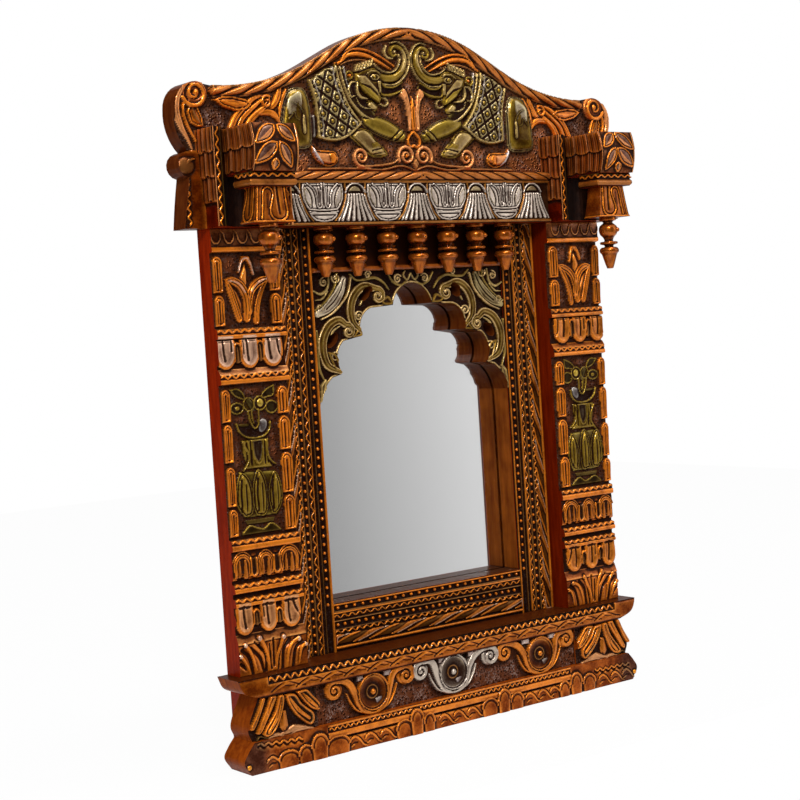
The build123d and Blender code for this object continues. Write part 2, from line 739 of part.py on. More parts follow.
def build_canopy():
    """Lotus frieze with its rope, and the brackets, blocks, ledges and bells."""
    face = crest_face()
    low = crest_bottom
    high = low + frieze_height
    front = face - frieze_thickness
    frieze = box(-bracket_inner, bracket_inner, front, face, low, high)
    sunk = front + frieze_recess
    frieze -= box(-bracket_inner, bracket_inner, front, sunk, low + frieze_rim, high - frieze_rim)
    parts["canopy_frieze"] = peg_holes(frieze)
    section = nosed_section(face - canopy_rope_relief, face, high, high + canopy_rope_height)
    parts["canopy_rope"] = along_x(section, -bracket_inner, bracket_inner)

    reach = glue_y - bracket_reach
    x0, x1 = bracket_inner, bracket_outer
    flute = bracket_flute_cut(low - ledge_round, low + bracket_height + ledge_round)
    plain_top = low + bracket_height - bracket_tiers * bracket_tier_height
    inset = bracket_tiers * bracket_tier_step
    bracket = box(x0 + inset, x1 - inset, reach + inset, face, low, plain_top)
    for n in range(bracket_tiers):
        z0 = plain_top + n * bracket_tier_height
        step = (bracket_tiers - 1 - n) * bracket_tier_step
        tier = box(x0 + step, x1 - step, reach + step, face, z0, z0 + bracket_tier_height)
        for side_x in (x0 + step, x1 - step):
            for k in range(shingles_per_side):
                y = reach + step + (face - reach - step) * (k + 0.5) / shingles_per_side
                tier -= rod(side_x, y, z0 + bracket_tier_step, shingle_radius / 2, bracket_tier_height, "z")
        bracket += tier
    bracket -= flute
    pair("canopy_bracket", bracket)

    block_low = low + block_bottom_rise
    block_high = block_low + block_height
    tip = glue_y - canopy_reach
    middle = (block_low + block_high) / 2
    edge = tip + block_bulge
    nose = ThreePointArc((edge, block_low), (tip, middle), (edge, block_high))
    straight = Polyline((edge, block_high), (face, block_high), (face, block_low), (edge, block_low))
    section = loop(nose, straight)
    block = along_x(section, block_inner, block_outer)
    block -= bracket
    block &= box(block_inner, block_outer, tip, face, block_low, block_high)
    pair("canopy_block", largest(block))

    top = low + bell_height
    front_low, back_low = glue_y - bell_front, glue_y - bell_back
    lower = Plane.XY.offset(low) * Pos(bell_x, (front_low + back_low) / 2) * Rectangle(
        2 * bell_half, back_low - front_low
    )
    upper = Plane.XY.offset(top) * Pos(bell_x, (front_low + back_low) / 2) * Rectangle(
        2 * (bell_half - bell_taper), back_low - front_low - bell_taper
    )
    bell = loft([lower, upper])
    hole = drop_peg_radius + fit_clearance
    bell -= rod(bell_x, glue_y - corner_drop_setback, low, hole, drop_peg_length + fit_clearance, "z")
    pair("bell_capital", bell)

    lip = box(
        bell_x - bell_half - ledge_round, bell_x + bell_half + ledge_round,
        front_low - ledge_round, back_low + ledge_round, top, block_low,
    )
    rims = lip.edges().filter_by(Axis.Z, reverse=True)
    pair("block_ledge", fillet(rims, ledge_round))


def bracket_flute_cut(low, high):
    """The hollow down the front of a bracket, between its two lips."""
    left = bracket_inner + bracket_lip
    right = bracket_outer - bracket_lip
    middle = (left + right) / 2
    front = glue_y - bracket_reach
    far = front - bracket_flute
    arc = ThreePointArc((left, front), (middle, front + bracket_flute), (right, front))
    outline = loop(arc, Polyline((right, front), (right, far), (left, far), (left, front)))
    return plan(outline, low, high)


def largest(shape):
    return max(shape.solids(), key=lambda solid: solid.volume)


build_carcass()
build_glass()
build_hangers()
build_mouldings()
build_arch()
build_turnings()
build_pilasters()
build_base()
build_crest()
build_canopy()

for name, shape in parts.items():
    export_step(shape, f"parts/{name}.step")
    print(name, round(shape.volume))
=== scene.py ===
import cmath
import math

import bpy
import numpy as np
from mathutils import Matrix, Vector
from mathutils.geometry import tessellate_polygon


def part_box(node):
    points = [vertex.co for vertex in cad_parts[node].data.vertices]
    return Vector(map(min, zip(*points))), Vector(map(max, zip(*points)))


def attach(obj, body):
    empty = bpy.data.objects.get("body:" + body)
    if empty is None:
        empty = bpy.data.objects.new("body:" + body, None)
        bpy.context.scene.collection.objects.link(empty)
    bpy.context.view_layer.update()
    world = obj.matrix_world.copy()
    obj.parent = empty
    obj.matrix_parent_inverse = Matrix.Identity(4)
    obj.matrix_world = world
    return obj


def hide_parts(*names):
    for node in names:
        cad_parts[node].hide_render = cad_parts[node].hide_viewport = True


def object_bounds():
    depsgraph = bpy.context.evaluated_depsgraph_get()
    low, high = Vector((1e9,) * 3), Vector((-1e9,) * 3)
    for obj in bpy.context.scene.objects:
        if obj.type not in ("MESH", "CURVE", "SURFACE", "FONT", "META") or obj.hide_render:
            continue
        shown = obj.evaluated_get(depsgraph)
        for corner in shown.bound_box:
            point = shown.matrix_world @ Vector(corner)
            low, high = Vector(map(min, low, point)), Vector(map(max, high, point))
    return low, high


# A carved wooden wall mirror. Lengths in the tables are millimetres; each carved face is a
# grid of heights, built from strokes, leaves and raised areas, and closed by its edge walls.
# In the builders r is the relief that is carved, g is the height of its ground, and m puts
# the points of one half on the side in hand.

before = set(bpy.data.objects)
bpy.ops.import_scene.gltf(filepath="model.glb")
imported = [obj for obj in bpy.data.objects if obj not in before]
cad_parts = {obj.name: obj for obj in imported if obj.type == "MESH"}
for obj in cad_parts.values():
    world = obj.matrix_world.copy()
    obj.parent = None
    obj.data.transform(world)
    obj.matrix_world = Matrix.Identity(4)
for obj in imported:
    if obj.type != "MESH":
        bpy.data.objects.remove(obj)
cad_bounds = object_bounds()
MM = 0.001
FAR = 1e9

# Camera, in the frame of the model: place in millimetres, turns in degrees
CAMERA_PLACE = (-886.9, -1123.9, 354.8)
CAMERA_TURN = -36.99
CAMERA_PITCH = -2.7
CAMERA_ROLL = -3.65
CAMERA_LENS = 73.84

# Stains and paints that many pieces share, as linear red, green and blue
COPPER = (0.52, 0.118, 0.004)
AMBER = (0.34, 0.07, 0.004)
BROWN = (0.15, 0.034, 0.005)
UMBER = (0.15, 0.04, 0.012)
EARTH = (0.15, 0.041, 0.013)
RED = (0.35, 0.024, 0.0008)
OLIVE = (0.14, 0.08, 0.006)
GILT = (0.125, 0.06, 0.008)
GOLD = (0.42, 0.275, 0.12)
# CREAM_AND_HIGHLIGHT is the pale cream of cords and facets, lifted as a painted highlight on the olive
# carving.
CREAM_AND_HIGHLIGHT = (0.27, 0.18, 0.065)
SLATE = (0.22, 0.19, 0.18)
SILVER = (0.44, 0.375, 0.335)
# ROSE_SHEEN is copper paint lightened to pink, with a painted sheen standing in for varnish highlights.
ROSE_SHEEN = (0.52, 0.18, 0.06)
# PALE_HIGHLIGHT is pinkish white painted on as a highlight: a painted reflection of light in the varnish.
PALE_HIGHLIGHT = (0.52, 0.3, 0.21)
NIGHT = (0.014, 0.0036, 0.0013)
GLOOM = (0.05, 0.034, 0.011)

# Colours of single places, as linear red, green and blue
CAP_STAIN = (0.3, 0.1, 0.03)
CAP_SCROLL = (0.34, 0.1, 0.025)
# PETAL_HEART_SHEEN is orange lightened towards pink, part of it a painted highlight.
PETAL_HEART_SHEEN = (0.5, 0.2, 0.08)
# The two slope colours are paler because the slopes face up: painted highlights.
UPPER_SLOPE_HIGHLIGHT = (0.5, 0.19, 0.06)
LOWER_SLOPE_HIGHLIGHT = (0.5, 0.17, 0.04)
ORANGE_BAND = (0.44, 0.1, 0.008)
TULIP_HEART = (0.5, 0.13, 0.012)
# RIGHT_UNHIGHLIGHTED is the orange that the right pilaster gets where the left one has painted highlights.
RIGHT_UNHIGHLIGHTED = (0.46, 0.12, 0.012)
# RIGHT_SIDE_SHADED_RED is the side stain painted darker, as painted shade.
RIGHT_SIDE_SHADED_RED = (0.2, 0.017, 0.001)
BERRY = (0.36, 0.24, 0.03)
# MOUTH_GLINT is a painted glint in the vase's dark mouth.
MOUTH_GLINT = (0.2, 0.19, 0.2)
NECK_HOLLOW = (0.12, 0.09, 0.05)
LOTUS_GROUND = (0.16, 0.11, 0.012)
CREST_STAIN = (0.27, 0.085, 0.025)
CREST_END_STAIN = (0.1, 0.035, 0.014)
CREST_ROPE = (0.36, 0.085, 0.011)
VOLUTE_STAIN = (0.42, 0.1, 0.02)
RUMP_RIM = (0.15, 0.11, 0.05)
RUMP_SHINE = (0.36, 0.3, 0.18)
CLOTH_GROUND = (0.06, 0.042, 0.016)
CLOTH_DIAMOND = (0.22, 0.165, 0.075)
NECK_SHADE = (0.075, 0.05, 0.012)
LEG_SHADE = (0.16, 0.1, 0.008)
CHEEK = (0.17, 0.105, 0.008)
CUP_SHINE = (0.4, 0.36, 0.37)
CUP_LEAF = (0.2, 0.16, 0.11)
CUP_BAND = (0.22, 0.07, 0.012)
FAN_CAP = (0.17, 0.125, 0.075)
FRIEZE_GROUND = (0.09, 0.035, 0.012)
CANOPY_ROPE = (0.3, 0.07, 0.011)
LEDGE_STRIP = (0.07, 0.025, 0.012)
# LEDGE_TOP_DARK_REFLECTION is the ledge's top painted dark: a painted reflection.
LEDGE_TOP_DARK_REFLECTION = (0.085, 0.019, 0.003)
FRIEZE_TOOTH = (0.42, 0.33, 0.32)
SILVER_DISH = (0.2, 0.15, 0.11)
COPPER_DISH = (0.26, 0.062, 0.006)
DISH_SHINE = (0.42, 0.36, 0.35)
CORNER_GROUND = (0.07, 0.026, 0.012)
# CORNER_MOUND_HIGHLIGHT is a paler mound: a painted highlight on the slope.
CORNER_MOUND_HIGHLIGHT = (0.4, 0.16, 0.07)
CORNER_HOLLOW = (0.12, 0.05, 0.022)
PLINTH_STRIP = (0.06, 0.022, 0.01)
PLINTH_ENDS = (0.17, 0.06, 0.03)
PLINTH_PEG = (0.6, 0.2, 0.01)
ROUND_BAR = (0.12, 0.032, 0.006)
SCROLL_LINE = (0.14, 0.085, 0.02)
ARCH_EDGE = (0.17, 0.042, 0.006)
SHINGLE = (0.36, 0.075, 0.008)
SHINGLE_RIDGE = (0.36, 0.1, 0.04)
FLUTE_SHADE = (0.03, 0.009, 0.003)
BLOCK_GROUND = (0.5, 0.17, 0.05)
BLOCK_LEAF = (0.24, 0.12, 0.09)
BLOCK_LEDGE = (0.24, 0.055, 0.008)
BELL_GROUND = (0.5, 0.13, 0.01)
ARCH_LEAF = (0.15, 0.092, 0.024)
# The two leaf colours are one leaf painted darker on the right and paler on the left: painted shade and
# highlight.
LEAF_RIGHT_SHADED = (0.2, 0.15, 0.07)
LEAF_LEFT_LIT = (0.4, 0.33, 0.24)

# How much darker whole pieces are than their paints
BASE_SHADE = 0.76
CORNER_SHADE = 0.82
PLINTH_SHADE = 0.88
MOULDING_SHADE = 0.84


# Curves


def smooth(points, per=8):
    """A curve through the points, as a denser line."""
    p = np.asarray(points, float)
    if len(p) < 3:
        return p
    ends = np.vstack([2 * p[0] - p[1], p, 2 * p[-1] - p[-2]])
    t = np.linspace(0, 1, per, endpoint=False)[:, None]
    out = []
    for a, b, c, d in zip(ends[:-3], ends[1:-2], ends[2:-1], ends[3:]):
        out.append(b + 0.5 * t * (c - a + t * (2 * a - 5 * b + 4 * c - d + t * (3 * (b - c) + d - a))))
    return np.vstack(out + [p[-1:]])


def spiral(cx, cz, radius, turns, start, hand=1, tight=0.12, lead=()):
    """A volute that winds in to its eye, after the points that lead to it."""
    s = np.linspace(0, 1, max(12, int(16 * turns)))
    r = radius * (1 - (1 - tight) * s)
    a = np.radians(start) + hand * 2 * math.pi * turns * s
    coil = np.stack([cx + r * np.cos(a), cz + r * np.sin(a)], 1)
    return coil if not len(lead) else np.vstack([smooth(np.vstack([lead, coil[:1]])), coil[1:]])


def closed_curve(points, per=8):
    """A closed curve through the points, without its last point again."""
    return smooth(np.vstack([points, points[:1]]), per)[:-1]


def ring(cx, cz, radius, n=28):
    turn = np.linspace(0, 2 * math.pi, n + 1)
    return np.stack([cx + radius * np.cos(turn), cz + radius * np.sin(turn)], 1)


def flip(points):
    """Points mirrored about the middle."""
    return np.array(points, float) * (-1, 1)


def on_side(side):
    """The call that puts points of one half on the given side."""

    def place(points):
        return np.array(points, float) * (side, 1)

    return place


def in_mm(box):
    """Low and high x, y and z of a box of the frame."""
    low, high = box
    return tuple(v / MM for v in (low.x, high.x, low.y, high.y, low.z, high.z))


def blur(field, sigma):
    """Gaussian blur with the edges carried on."""
    pad = int(3 * sigma) + 2
    f = np.pad(field, pad, mode="edge")
    kz = np.fft.fftfreq(f.shape[0])[:, None]
    kx = np.fft.rfftfreq(f.shape[1])[None, :]
    soft = np.exp(-2 * (math.pi * sigma) ** 2 * (kx**2 + kz**2))
    return np.fft.irfft2(np.fft.rfft2(f) * soft, f.shape)[pad:-pad, pad:-pad]


# Carved faces


class Relief:
    """Heights in mm over a grid of x and z, with a paint colour at every point."""

    def __init__(self, x0, x1, z0, z1, step=0.7, ground=0.0, paint=COPPER):
        self.xs = np.linspace(x0, x1, max(3, int(round((x1 - x0) / step)) + 1))
        self.zs = np.linspace(z0, z1, max(3, int(round((z1 - z0) / step)) + 1))
        self.X, self.Z = np.meshgrid(self.xs, self.zs)
        self.step = step
        self.H = np.full_like(self.X, float(ground))
        self.paint = np.empty(self.X.shape + (3,))
        self.paint[...] = paint
        self.punch = np.zeros_like(self.X)
        self.wear_and_sheen = np.zeros_like(self.X)

    def window(self, low, high):
        i0, i1 = np.searchsorted(self.xs, (low[0], high[0]))
        j0, j1 = np.searchsorted(self.zs, (low[1], high[1]))
        return slice(j0, j1 + 1), slice(i0, i1 + 1)

    def rows(self, z0, z1, x0=-FAR, x1=FAR):
        return self.window((x0, z0), (x1, z1))

    def trace(self, points, reach):
        """Distance to a line, with the place along it and the side, near the line."""
        p = np.asarray(points, float)
        win = self.window(p.min(0) - reach, p.max(0) + reach)
        X, Z = self.X[win], self.Z[win]
        D, T, S = np.full(X.shape, FAR), np.zeros(X.shape), np.zeros(X.shape)
        if not X.size:
            return win, D, T, S, 1.0
        lengths = np.hypot(*(p[1:] - p[:-1]).T)
        total = max(lengths.sum(), 1e-6)
        done = np.concatenate([[0], np.cumsum(lengths)])
        xs, zs = self.xs[win[1]], self.zs[win[0]]
        for k in range(len(p) - 1):
            if lengths[k] < 1e-9:
                continue
            low, high = np.minimum(p[k], p[k + 1]) - reach, np.maximum(p[k], p[k + 1]) + reach
            i0, i1 = np.searchsorted(xs, (low[0], high[0]))
            j0, j1 = np.searchsorted(zs, (low[1], high[1]))
            sub = (slice(j0, j1), slice(i0, i1))
            dx, dz = (p[k + 1] - p[k]) / lengths[k]
            x, z = X[sub] - p[k][0], Z[sub] - p[k][1]
            t = np.clip(x * dx + z * dz, 0, lengths[k])
            x, z = x - t * dx, z - t * dz
            d = np.hypot(x, z)
            near = d < D[sub]
            D[sub][near] = d[near]
            T[sub][near] = ((done[k] + t) / total)[near]
            S[sub][near] = (np.sign(dx * z - dz * x) * d)[near]
        return win, D, T, S, total

    def lay(self, win, height, where, paint=None, wear_and_sheen=None):
        """Keep the higher of what is there and the new height."""
        H = self.H[win]
        up = where & (height > H)
        H[up] = height[up]
        if paint is not None:
            self.paint[win][up] = paint
        if wear_and_sheen is not None:
            self.wear_and_sheen[win][up] = np.broadcast_to(wear_and_sheen, H.shape)[up]
        self.punch[win][up] = 0
        return up

    def stroke(self, points, width, height, base=0.0, power=0.5, curve=True, paint=None, rib=0.0,
               lip=0.0, lip_paint=None, wear_and_sheen=0.0):
        """A raised band: width and height may be lists that run along it."""
        p = smooth(points) if curve else np.asarray(points, float)
        widths, heights = np.atleast_1d(width).astype(float), np.atleast_1d(height).astype(float)
        win, D, T, S, _ = self.trace(p, widths.max() / 2 + self.step)
        w = np.maximum(np.interp(T, np.linspace(0, 1, len(widths)), widths) / 2, 0.25)
        tall = np.interp(T, np.linspace(0, 1, len(heights)), heights)
        q = np.clip(1 - (D / w) ** 2, 0, None)
        h = tall * q**power
        if rib:
            h = h - rib * np.exp(-((S / 0.75) ** 2)) * np.clip(w / 2, 0, 1)
        if lip:
            bead = np.exp(-(((D - np.maximum(w - 0.9, 0.3)) / 0.55) ** 2))
            h = h + lip * bead
            wear_and_sheen = wear_and_sheen + 0.55 * bead
        up = self.lay(win, base + h, q > 0, paint, wear_and_sheen)
        if lip_paint is not None:
            self.paint[win][up & (bead > 0.6)] = lip_paint

    def cut(self, points, width, depth, curve=True, pinch=1.0):
        """An engraved line."""
        p = smooth(points) if curve else np.asarray(points, float)
        win, D, T, _, _ = self.trace(p, 1.4 * width)
        thin = 1 - (1 - pinch) * np.abs(2 * T - 1)
        self.H[win] -= depth * thin * np.exp(-((D / (0.5 * width)) ** 2))

    def rope(self, points, width, height, base=0.0, pitch=12.0, skew=1.0, paint=None, deep=0.45,
             curve=True):
        """A round band of twisted strands."""
        p = smooth(points) if curve else np.asarray(points, float)
        win, D, T, S, total = self.trace(p, width / 2 + self.step)
        s = S / (width / 2)
        q = np.clip(1 - s**2, 0, None)
        phase = np.mod(T * total / pitch + skew * s * 0.5, 1) * 2 - 1
        strand = np.sqrt(np.clip(1 - phase**2, 0, 1))
        h = height * (q**0.5) * (1 - deep + deep * strand)
        self.lay(win, base + h, (q > 0) & (D < width / 2), paint)

    def blob(self, cx, cz, rx, rz=None, height=2.0, base=0.0, power=0.5, paint=None):
        """A domed round or oval."""
        rz = rx if rz is None else rz
        reach = max(rx, rz)
        win = self.window((cx - reach, cz - reach), (cx + reach, cz + reach))
        u, v = (self.X[win] - cx) / rx, (self.Z[win] - cz) / rz
        q = np.clip(1 - u * u - v * v, 0, None)
        self.lay(win, base + height * q**power, q > 0, paint)

    def area(self, points, height, base=0.0, bevel=1.2, dome=0.0, curve=False, paint=None, line=0.0,
             line_in=2.2, carve=None, wear_and_sheen=0.0, hollow=0.0, rim=0.0):
        """A raised flat shape with eased edges. line engraves its outline, rim beads its edge."""
        p = closed_curve(points) if curve else np.asarray(points, float)
        win = self.window(p.min(0) - 1, p.max(0) + 1)
        X, Z = self.X[win], self.Z[win]
        inside, d = ring_distance(X, Z, p)
        rise = np.clip(d / bevel, 0, 1)
        h = height * np.sqrt(1 - (1 - rise) ** 2)
        if dome:
            h = h + dome * (1 - np.exp(-d / (2 * bevel + 1e-6)))
        if hollow:
            h = h - hollow * np.clip((d - bevel) / (2 * bevel), 0, 1)
        if line:
            h = h - line * np.exp(-(((d - line_in) / 0.55) ** 2))
        if carve is not None:
            h = h + carve(X, Z)
        if rim:
            bead = np.exp(-(((d - 0.9) / 0.75) ** 2))
            h = h + rim * bead
            wear_and_sheen = wear_and_sheen + 0.55 * bead
        self.lay(win, base + h, inside, paint, wear_and_sheen)

    def plate(self, points, height, base, rim_paint, paint, edge=2.0, bevel=2.2, dome=1.0, wear_and_sheen=0.25):
        """A raised shape with a flat rim, a groove inside it and a domed middle."""
        p = closed_curve(points, 5)
        self.area(p, height, base, bevel=0.8, line=1.5, line_in=edge, paint=rim_paint, wear_and_sheen=wear_and_sheen)
        self.area(inset(p, edge + 0.3), height + 0.8, base, bevel=bevel, dome=dome, paint=paint)

    def dish(self, points, depth, bevel=1.6, paint=None, curve=True):
        """A hollow with eased sides, sunk into what is there."""
        p = closed_curve(points, 5) if curve else np.asarray(points, float)
        win = self.window(p.min(0) - 1, p.max(0) + 1)
        inside, d = ring_distance(self.X[win], self.Z[win], p)
        self.H[win] -= np.where(inside, depth * np.clip(d / bevel, 0, 1) ** 0.7, 0)
        if paint is not None:
            self.paint[win][inside] = paint

    def wave(self, x0, x1, z, swing, pitch, width, height, base=0.0, paint=None, upright=False):
        """A raised wavy line along a row or a column."""
        s = np.linspace(0, 1, max(4, int(abs(x1 - x0) / pitch * 8)))
        along = x0 + (x1 - x0) * s
        across = z + swing * np.sin(2 * math.pi * ((along - x0) / pitch))
        line = np.stack([across, along] if upright else [along, across], 1)
        self.stroke(line, width, height, base, curve=False, paint=paint, wear_and_sheen=0.5)

    def stain_and_painted_light(self):
        """How dark each point is, from stain in the hollows and painted shade there and beside raised
        forms, and how far its stain is rubbed off on the crowns, with a painted highlight, from the
        carving.
        """
        fine = blur(self.H, 1.0 / self.step) - self.H
        wide = blur(self.H, 3.2 / self.step) - self.H
        # Painted shade: hollows and the ground beside raised forms are darkened, on top of the stain that
        # gathers there.
        dark = np.clip(2.5 * fine + 0.85 * wide, 0, 1)
        # Crowns and ridges are rubbed bright: rubbed paint and a painted highlight.
        rub = np.clip(-1.5 * fine - 0.42 * wide, 0, 1)
        return dark, rub


def ring_distance(X, Z, p):
    """Whether each point is inside a closed line, and how far it is from it."""
    inside = np.zeros(X.shape, bool)
    best = np.full(X.shape, FAR**2)
    for (ax, az), (bx, bz) in zip(p, np.roll(p, -1, 0)):
        dx, dz = bx - ax, bz - az
        if dz:
            cross = ((az > Z) != (bz > Z)) & (X < dx * (Z - az) / dz + ax)
            inside ^= cross
        t = np.clip(((X - ax) * dx + (Z - az) * dz) / max(dx * dx + dz * dz, 1e-12), 0, 1)
        best = np.minimum(best, (X - ax - t * dx) ** 2 + (Z - az - t * dz) ** 2)
    return inside, np.sqrt(best)


def inset(points, d):
    """A closed line moved inwards by d."""
    p = np.asarray(points, float)
    e = np.roll(p, -1, 0) - p
    e /= np.hypot(*e.T)[:, None]
    n = np.stack([-e[:, 1], e[:, 0]], 1)
    turn = np.sum(p[:, 0] * np.roll(p[:, 1], -1) - np.roll(p[:, 0], -1) * p[:, 1])
    v = n + np.roll(n, 1, 0)
    v /= np.maximum((v**2).sum(1, keepdims=True) / 2, 0.6)
    return p + d * np.sign(turn) * v


# Meshes


def mesh_object(name, verts, faces, material, sharp=40.0):
    """A mesh in metres that rides on the body."""
    mesh = bpy.data.meshes.new(name)
    verts = np.asarray(verts, np.float32)
    faces = [np.asarray(f, np.int32) for f in (faces if isinstance(faces, (list, tuple)) else [faces])]
    faces = [f for f in faces if len(f)]
    mesh.vertices.add(len(verts))
    mesh.vertices.foreach_set("co", (verts * MM).ravel())
    loops = np.concatenate([f.ravel() for f in faces])
    sizes = np.concatenate([np.full(len(f), f.shape[1], np.int32) for f in faces])
    mesh.loops.add(len(loops))
    mesh.loops.foreach_set("vertex_index", loops)
    mesh.polygons.add(len(sizes))
    mesh.polygons.foreach_set("loop_start", np.concatenate([[0], np.cumsum(sizes)[:-1]]).astype(np.int32))
    mesh.polygons.foreach_set("loop_total", sizes)
    mesh.update(calc_edges=True)
    mesh.validate()
    mesh.shade_smooth()
    if sharp:
        mesh.set_sharp_from_angle(angle=math.radians(sharp))
    mesh.materials.append(material)
    piece = bpy.data.objects.new(name, mesh)
    bpy.context.scene.collection.objects.link(piece)
    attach(piece, "root")
    return piece


def add_point_data(piece, paint, **floats):
    data = piece.data.attributes.new("paint", "FLOAT_COLOR", "POINT")
    rgba = np.ones((len(piece.data.vertices), 4), np.float32)
    rgba[:, :3] = paint
    data.data.foreach_set("color", rgba.ravel())
    for name, values in floats.items():
        data = piece.data.attributes.new(name, "FLOAT", "POINT")
        data.data.foreach_set("value", np.asarray(values, np.float32))


def add_plain_data(piece, paint):
    """Point data of a side that isn't carved: plain paint, neither dark nor punched."""
    count = len(piece.data.vertices)
    add_point_data(piece, paint, dark=np.zeros(count), rub=np.full(count, -1.0), punch=np.zeros(count))


def snapped(points, rings):
    """Points moved to the nearest place on any of the closed lines."""
    best = np.full(len(points), FAR**2)
    out = points.copy()
    for ring in rings:
        ring = np.asarray(ring, float)
        for a, b in zip(ring, np.roll(ring, -1, 0)):
            d = b - a
            t = np.clip(((points - a) @ d) / max(d @ d, 1e-12), 0, 1)
            q = a + t[:, None] * d
            dist = ((points - q) ** 2).sum(1)
            near = dist < best
            best[near] = dist[near]
            out[near] = q[near]
    return out


def cells_inside(relief, outline, holes):
    """Which cells of the grid have their middle inside the outline and outside its holes."""
    ny, nx = relief.H.shape
    if outline is None:
        return np.ones((ny - 1, nx - 1), bool)
    cx = (relief.xs[:-1] + relief.xs[1:]) / 2
    cz = (relief.zs[:-1] + relief.zs[1:]) / 2
    CX, CZ = np.meshgrid(cx, cz)
    inside = ring_distance(CX, CZ, np.asarray(outline, float))[0]
    for hole in holes:
        inside &= ~ring_distance(CX, CZ, np.asarray(hole, float))[0]
    return inside


def border_edges(inside, corners):
    """Pairs of points along the border of the cells. corners has the points of each cell."""
    ny, nx = inside.shape
    padded = np.pad(inside, 1)
    edges = []
    for down, across, start in ((-1, 0, 0), (0, 1, 1), (1, 0, 2), (0, -1, 3)):
        beside = padded[1 + down : 1 + down + ny, 1 + across : 1 + across + nx]
        edge = inside & ~beside
        edges.append(np.stack([corners[start][edge], corners[(start + 1) % 4][edge]], 1))
    return np.vstack(edges)


def carved(relief, name, place, back, outline=None, holes=(), flips=False, edge_paint=RED,
           closed=True):
    """The mesh of a carved face, and the edge that closes it back to a plane.

    place maps x, z and height to mm. edge_paint is a colour, or a call that gives one for each point.
    """
    ny, nx = relief.H.shape
    inside = cells_inside(relief, outline, holes)
    used = np.zeros((ny, nx), int)
    for dz, dx in ((0, 0), (0, 1), (1, 0), (1, 1)):
        used[dz : dz + ny - 1, dx : dx + nx - 1] += inside
    index = np.full((ny, nx), -1)
    keep = used > 0
    index[keep] = np.arange(keep.sum())
    flat = np.stack([relief.X[keep], relief.Z[keep]], 1)
    rim = used[keep] < 4
    if outline is not None:
        flat[rim] = snapped(flat[rim], [outline, *holes])
    corners = index[:-1, :-1], index[:-1, 1:], index[1:, 1:], index[1:, :-1]
    quads = np.stack([corner[inside] for corner in corners], 1)
    front = place(flat[:, 0], flat[:, 1], relief.H[keep])
    face = mesh_object(name, front, [quads[:, ::-1] if flips else quads], CARVED, sharp=0)
    dark, rub = relief.stain_and_painted_light()
    rub = np.clip(rub[keep] + relief.wear_and_sheen[keep], -1, 1)
    add_point_data(face, relief.paint[keep], dark=dark[keep], rub=rub, punch=relief.punch[keep])
    if not closed:
        return [face]

    behind = place(flat[:, 0], flat[:, 1], np.full(len(flat), float(back)))
    walls = border_edges(inside, corners)
    rim_ids, inverse = np.unique(walls, return_inverse=True)
    pairs = inverse.reshape(walls.shape)
    n = len(rim_ids)
    sides = np.stack([pairs[:, 1], pairs[:, 0], pairs[:, 0] + n, pairs[:, 1] + n], 1)
    if outline is None:
        x0, x1, z0, z1 = relief.xs[0], relief.xs[-1], relief.zs[0], relief.zs[-1]
        outline = [(x0, z0), (x1, z0), (x1, z1), (x0, z1)]
    rings = [np.asarray(ring, float) for ring in (outline, *holes)]
    tris = np.array(tessellate_polygon([[Vector((x, z, 0)) for x, z in ring] for ring in rings]))
    flat_back = np.vstack(rings)
    if cross_sum(flat_back[tris[0]]) > 0:
        tris = tris[:, ::-1]
    rear = place(flat_back[:, 0], flat_back[:, 1], np.full(len(flat_back), float(back)))
    verts = np.vstack([front[rim_ids], behind[rim_ids], rear])
    faces = [sides, tris + 2 * n]
    if flips:
        faces = [f[:, ::-1] for f in faces]
    edge = mesh_object(name + "_edge", verts, faces, CARVED)
    add_plain_data(edge, edge_paint(verts) if callable(edge_paint) else edge_paint)
    return [face, edge]


def cross_sum(p):
    """Twice the area of a triangle, above zero where it turns left."""
    (ax, az), (bx, bz), (cx, cz) = p
    return (bx - ax) * (cz - az) - (bz - az) * (cx - ax)


# Materials


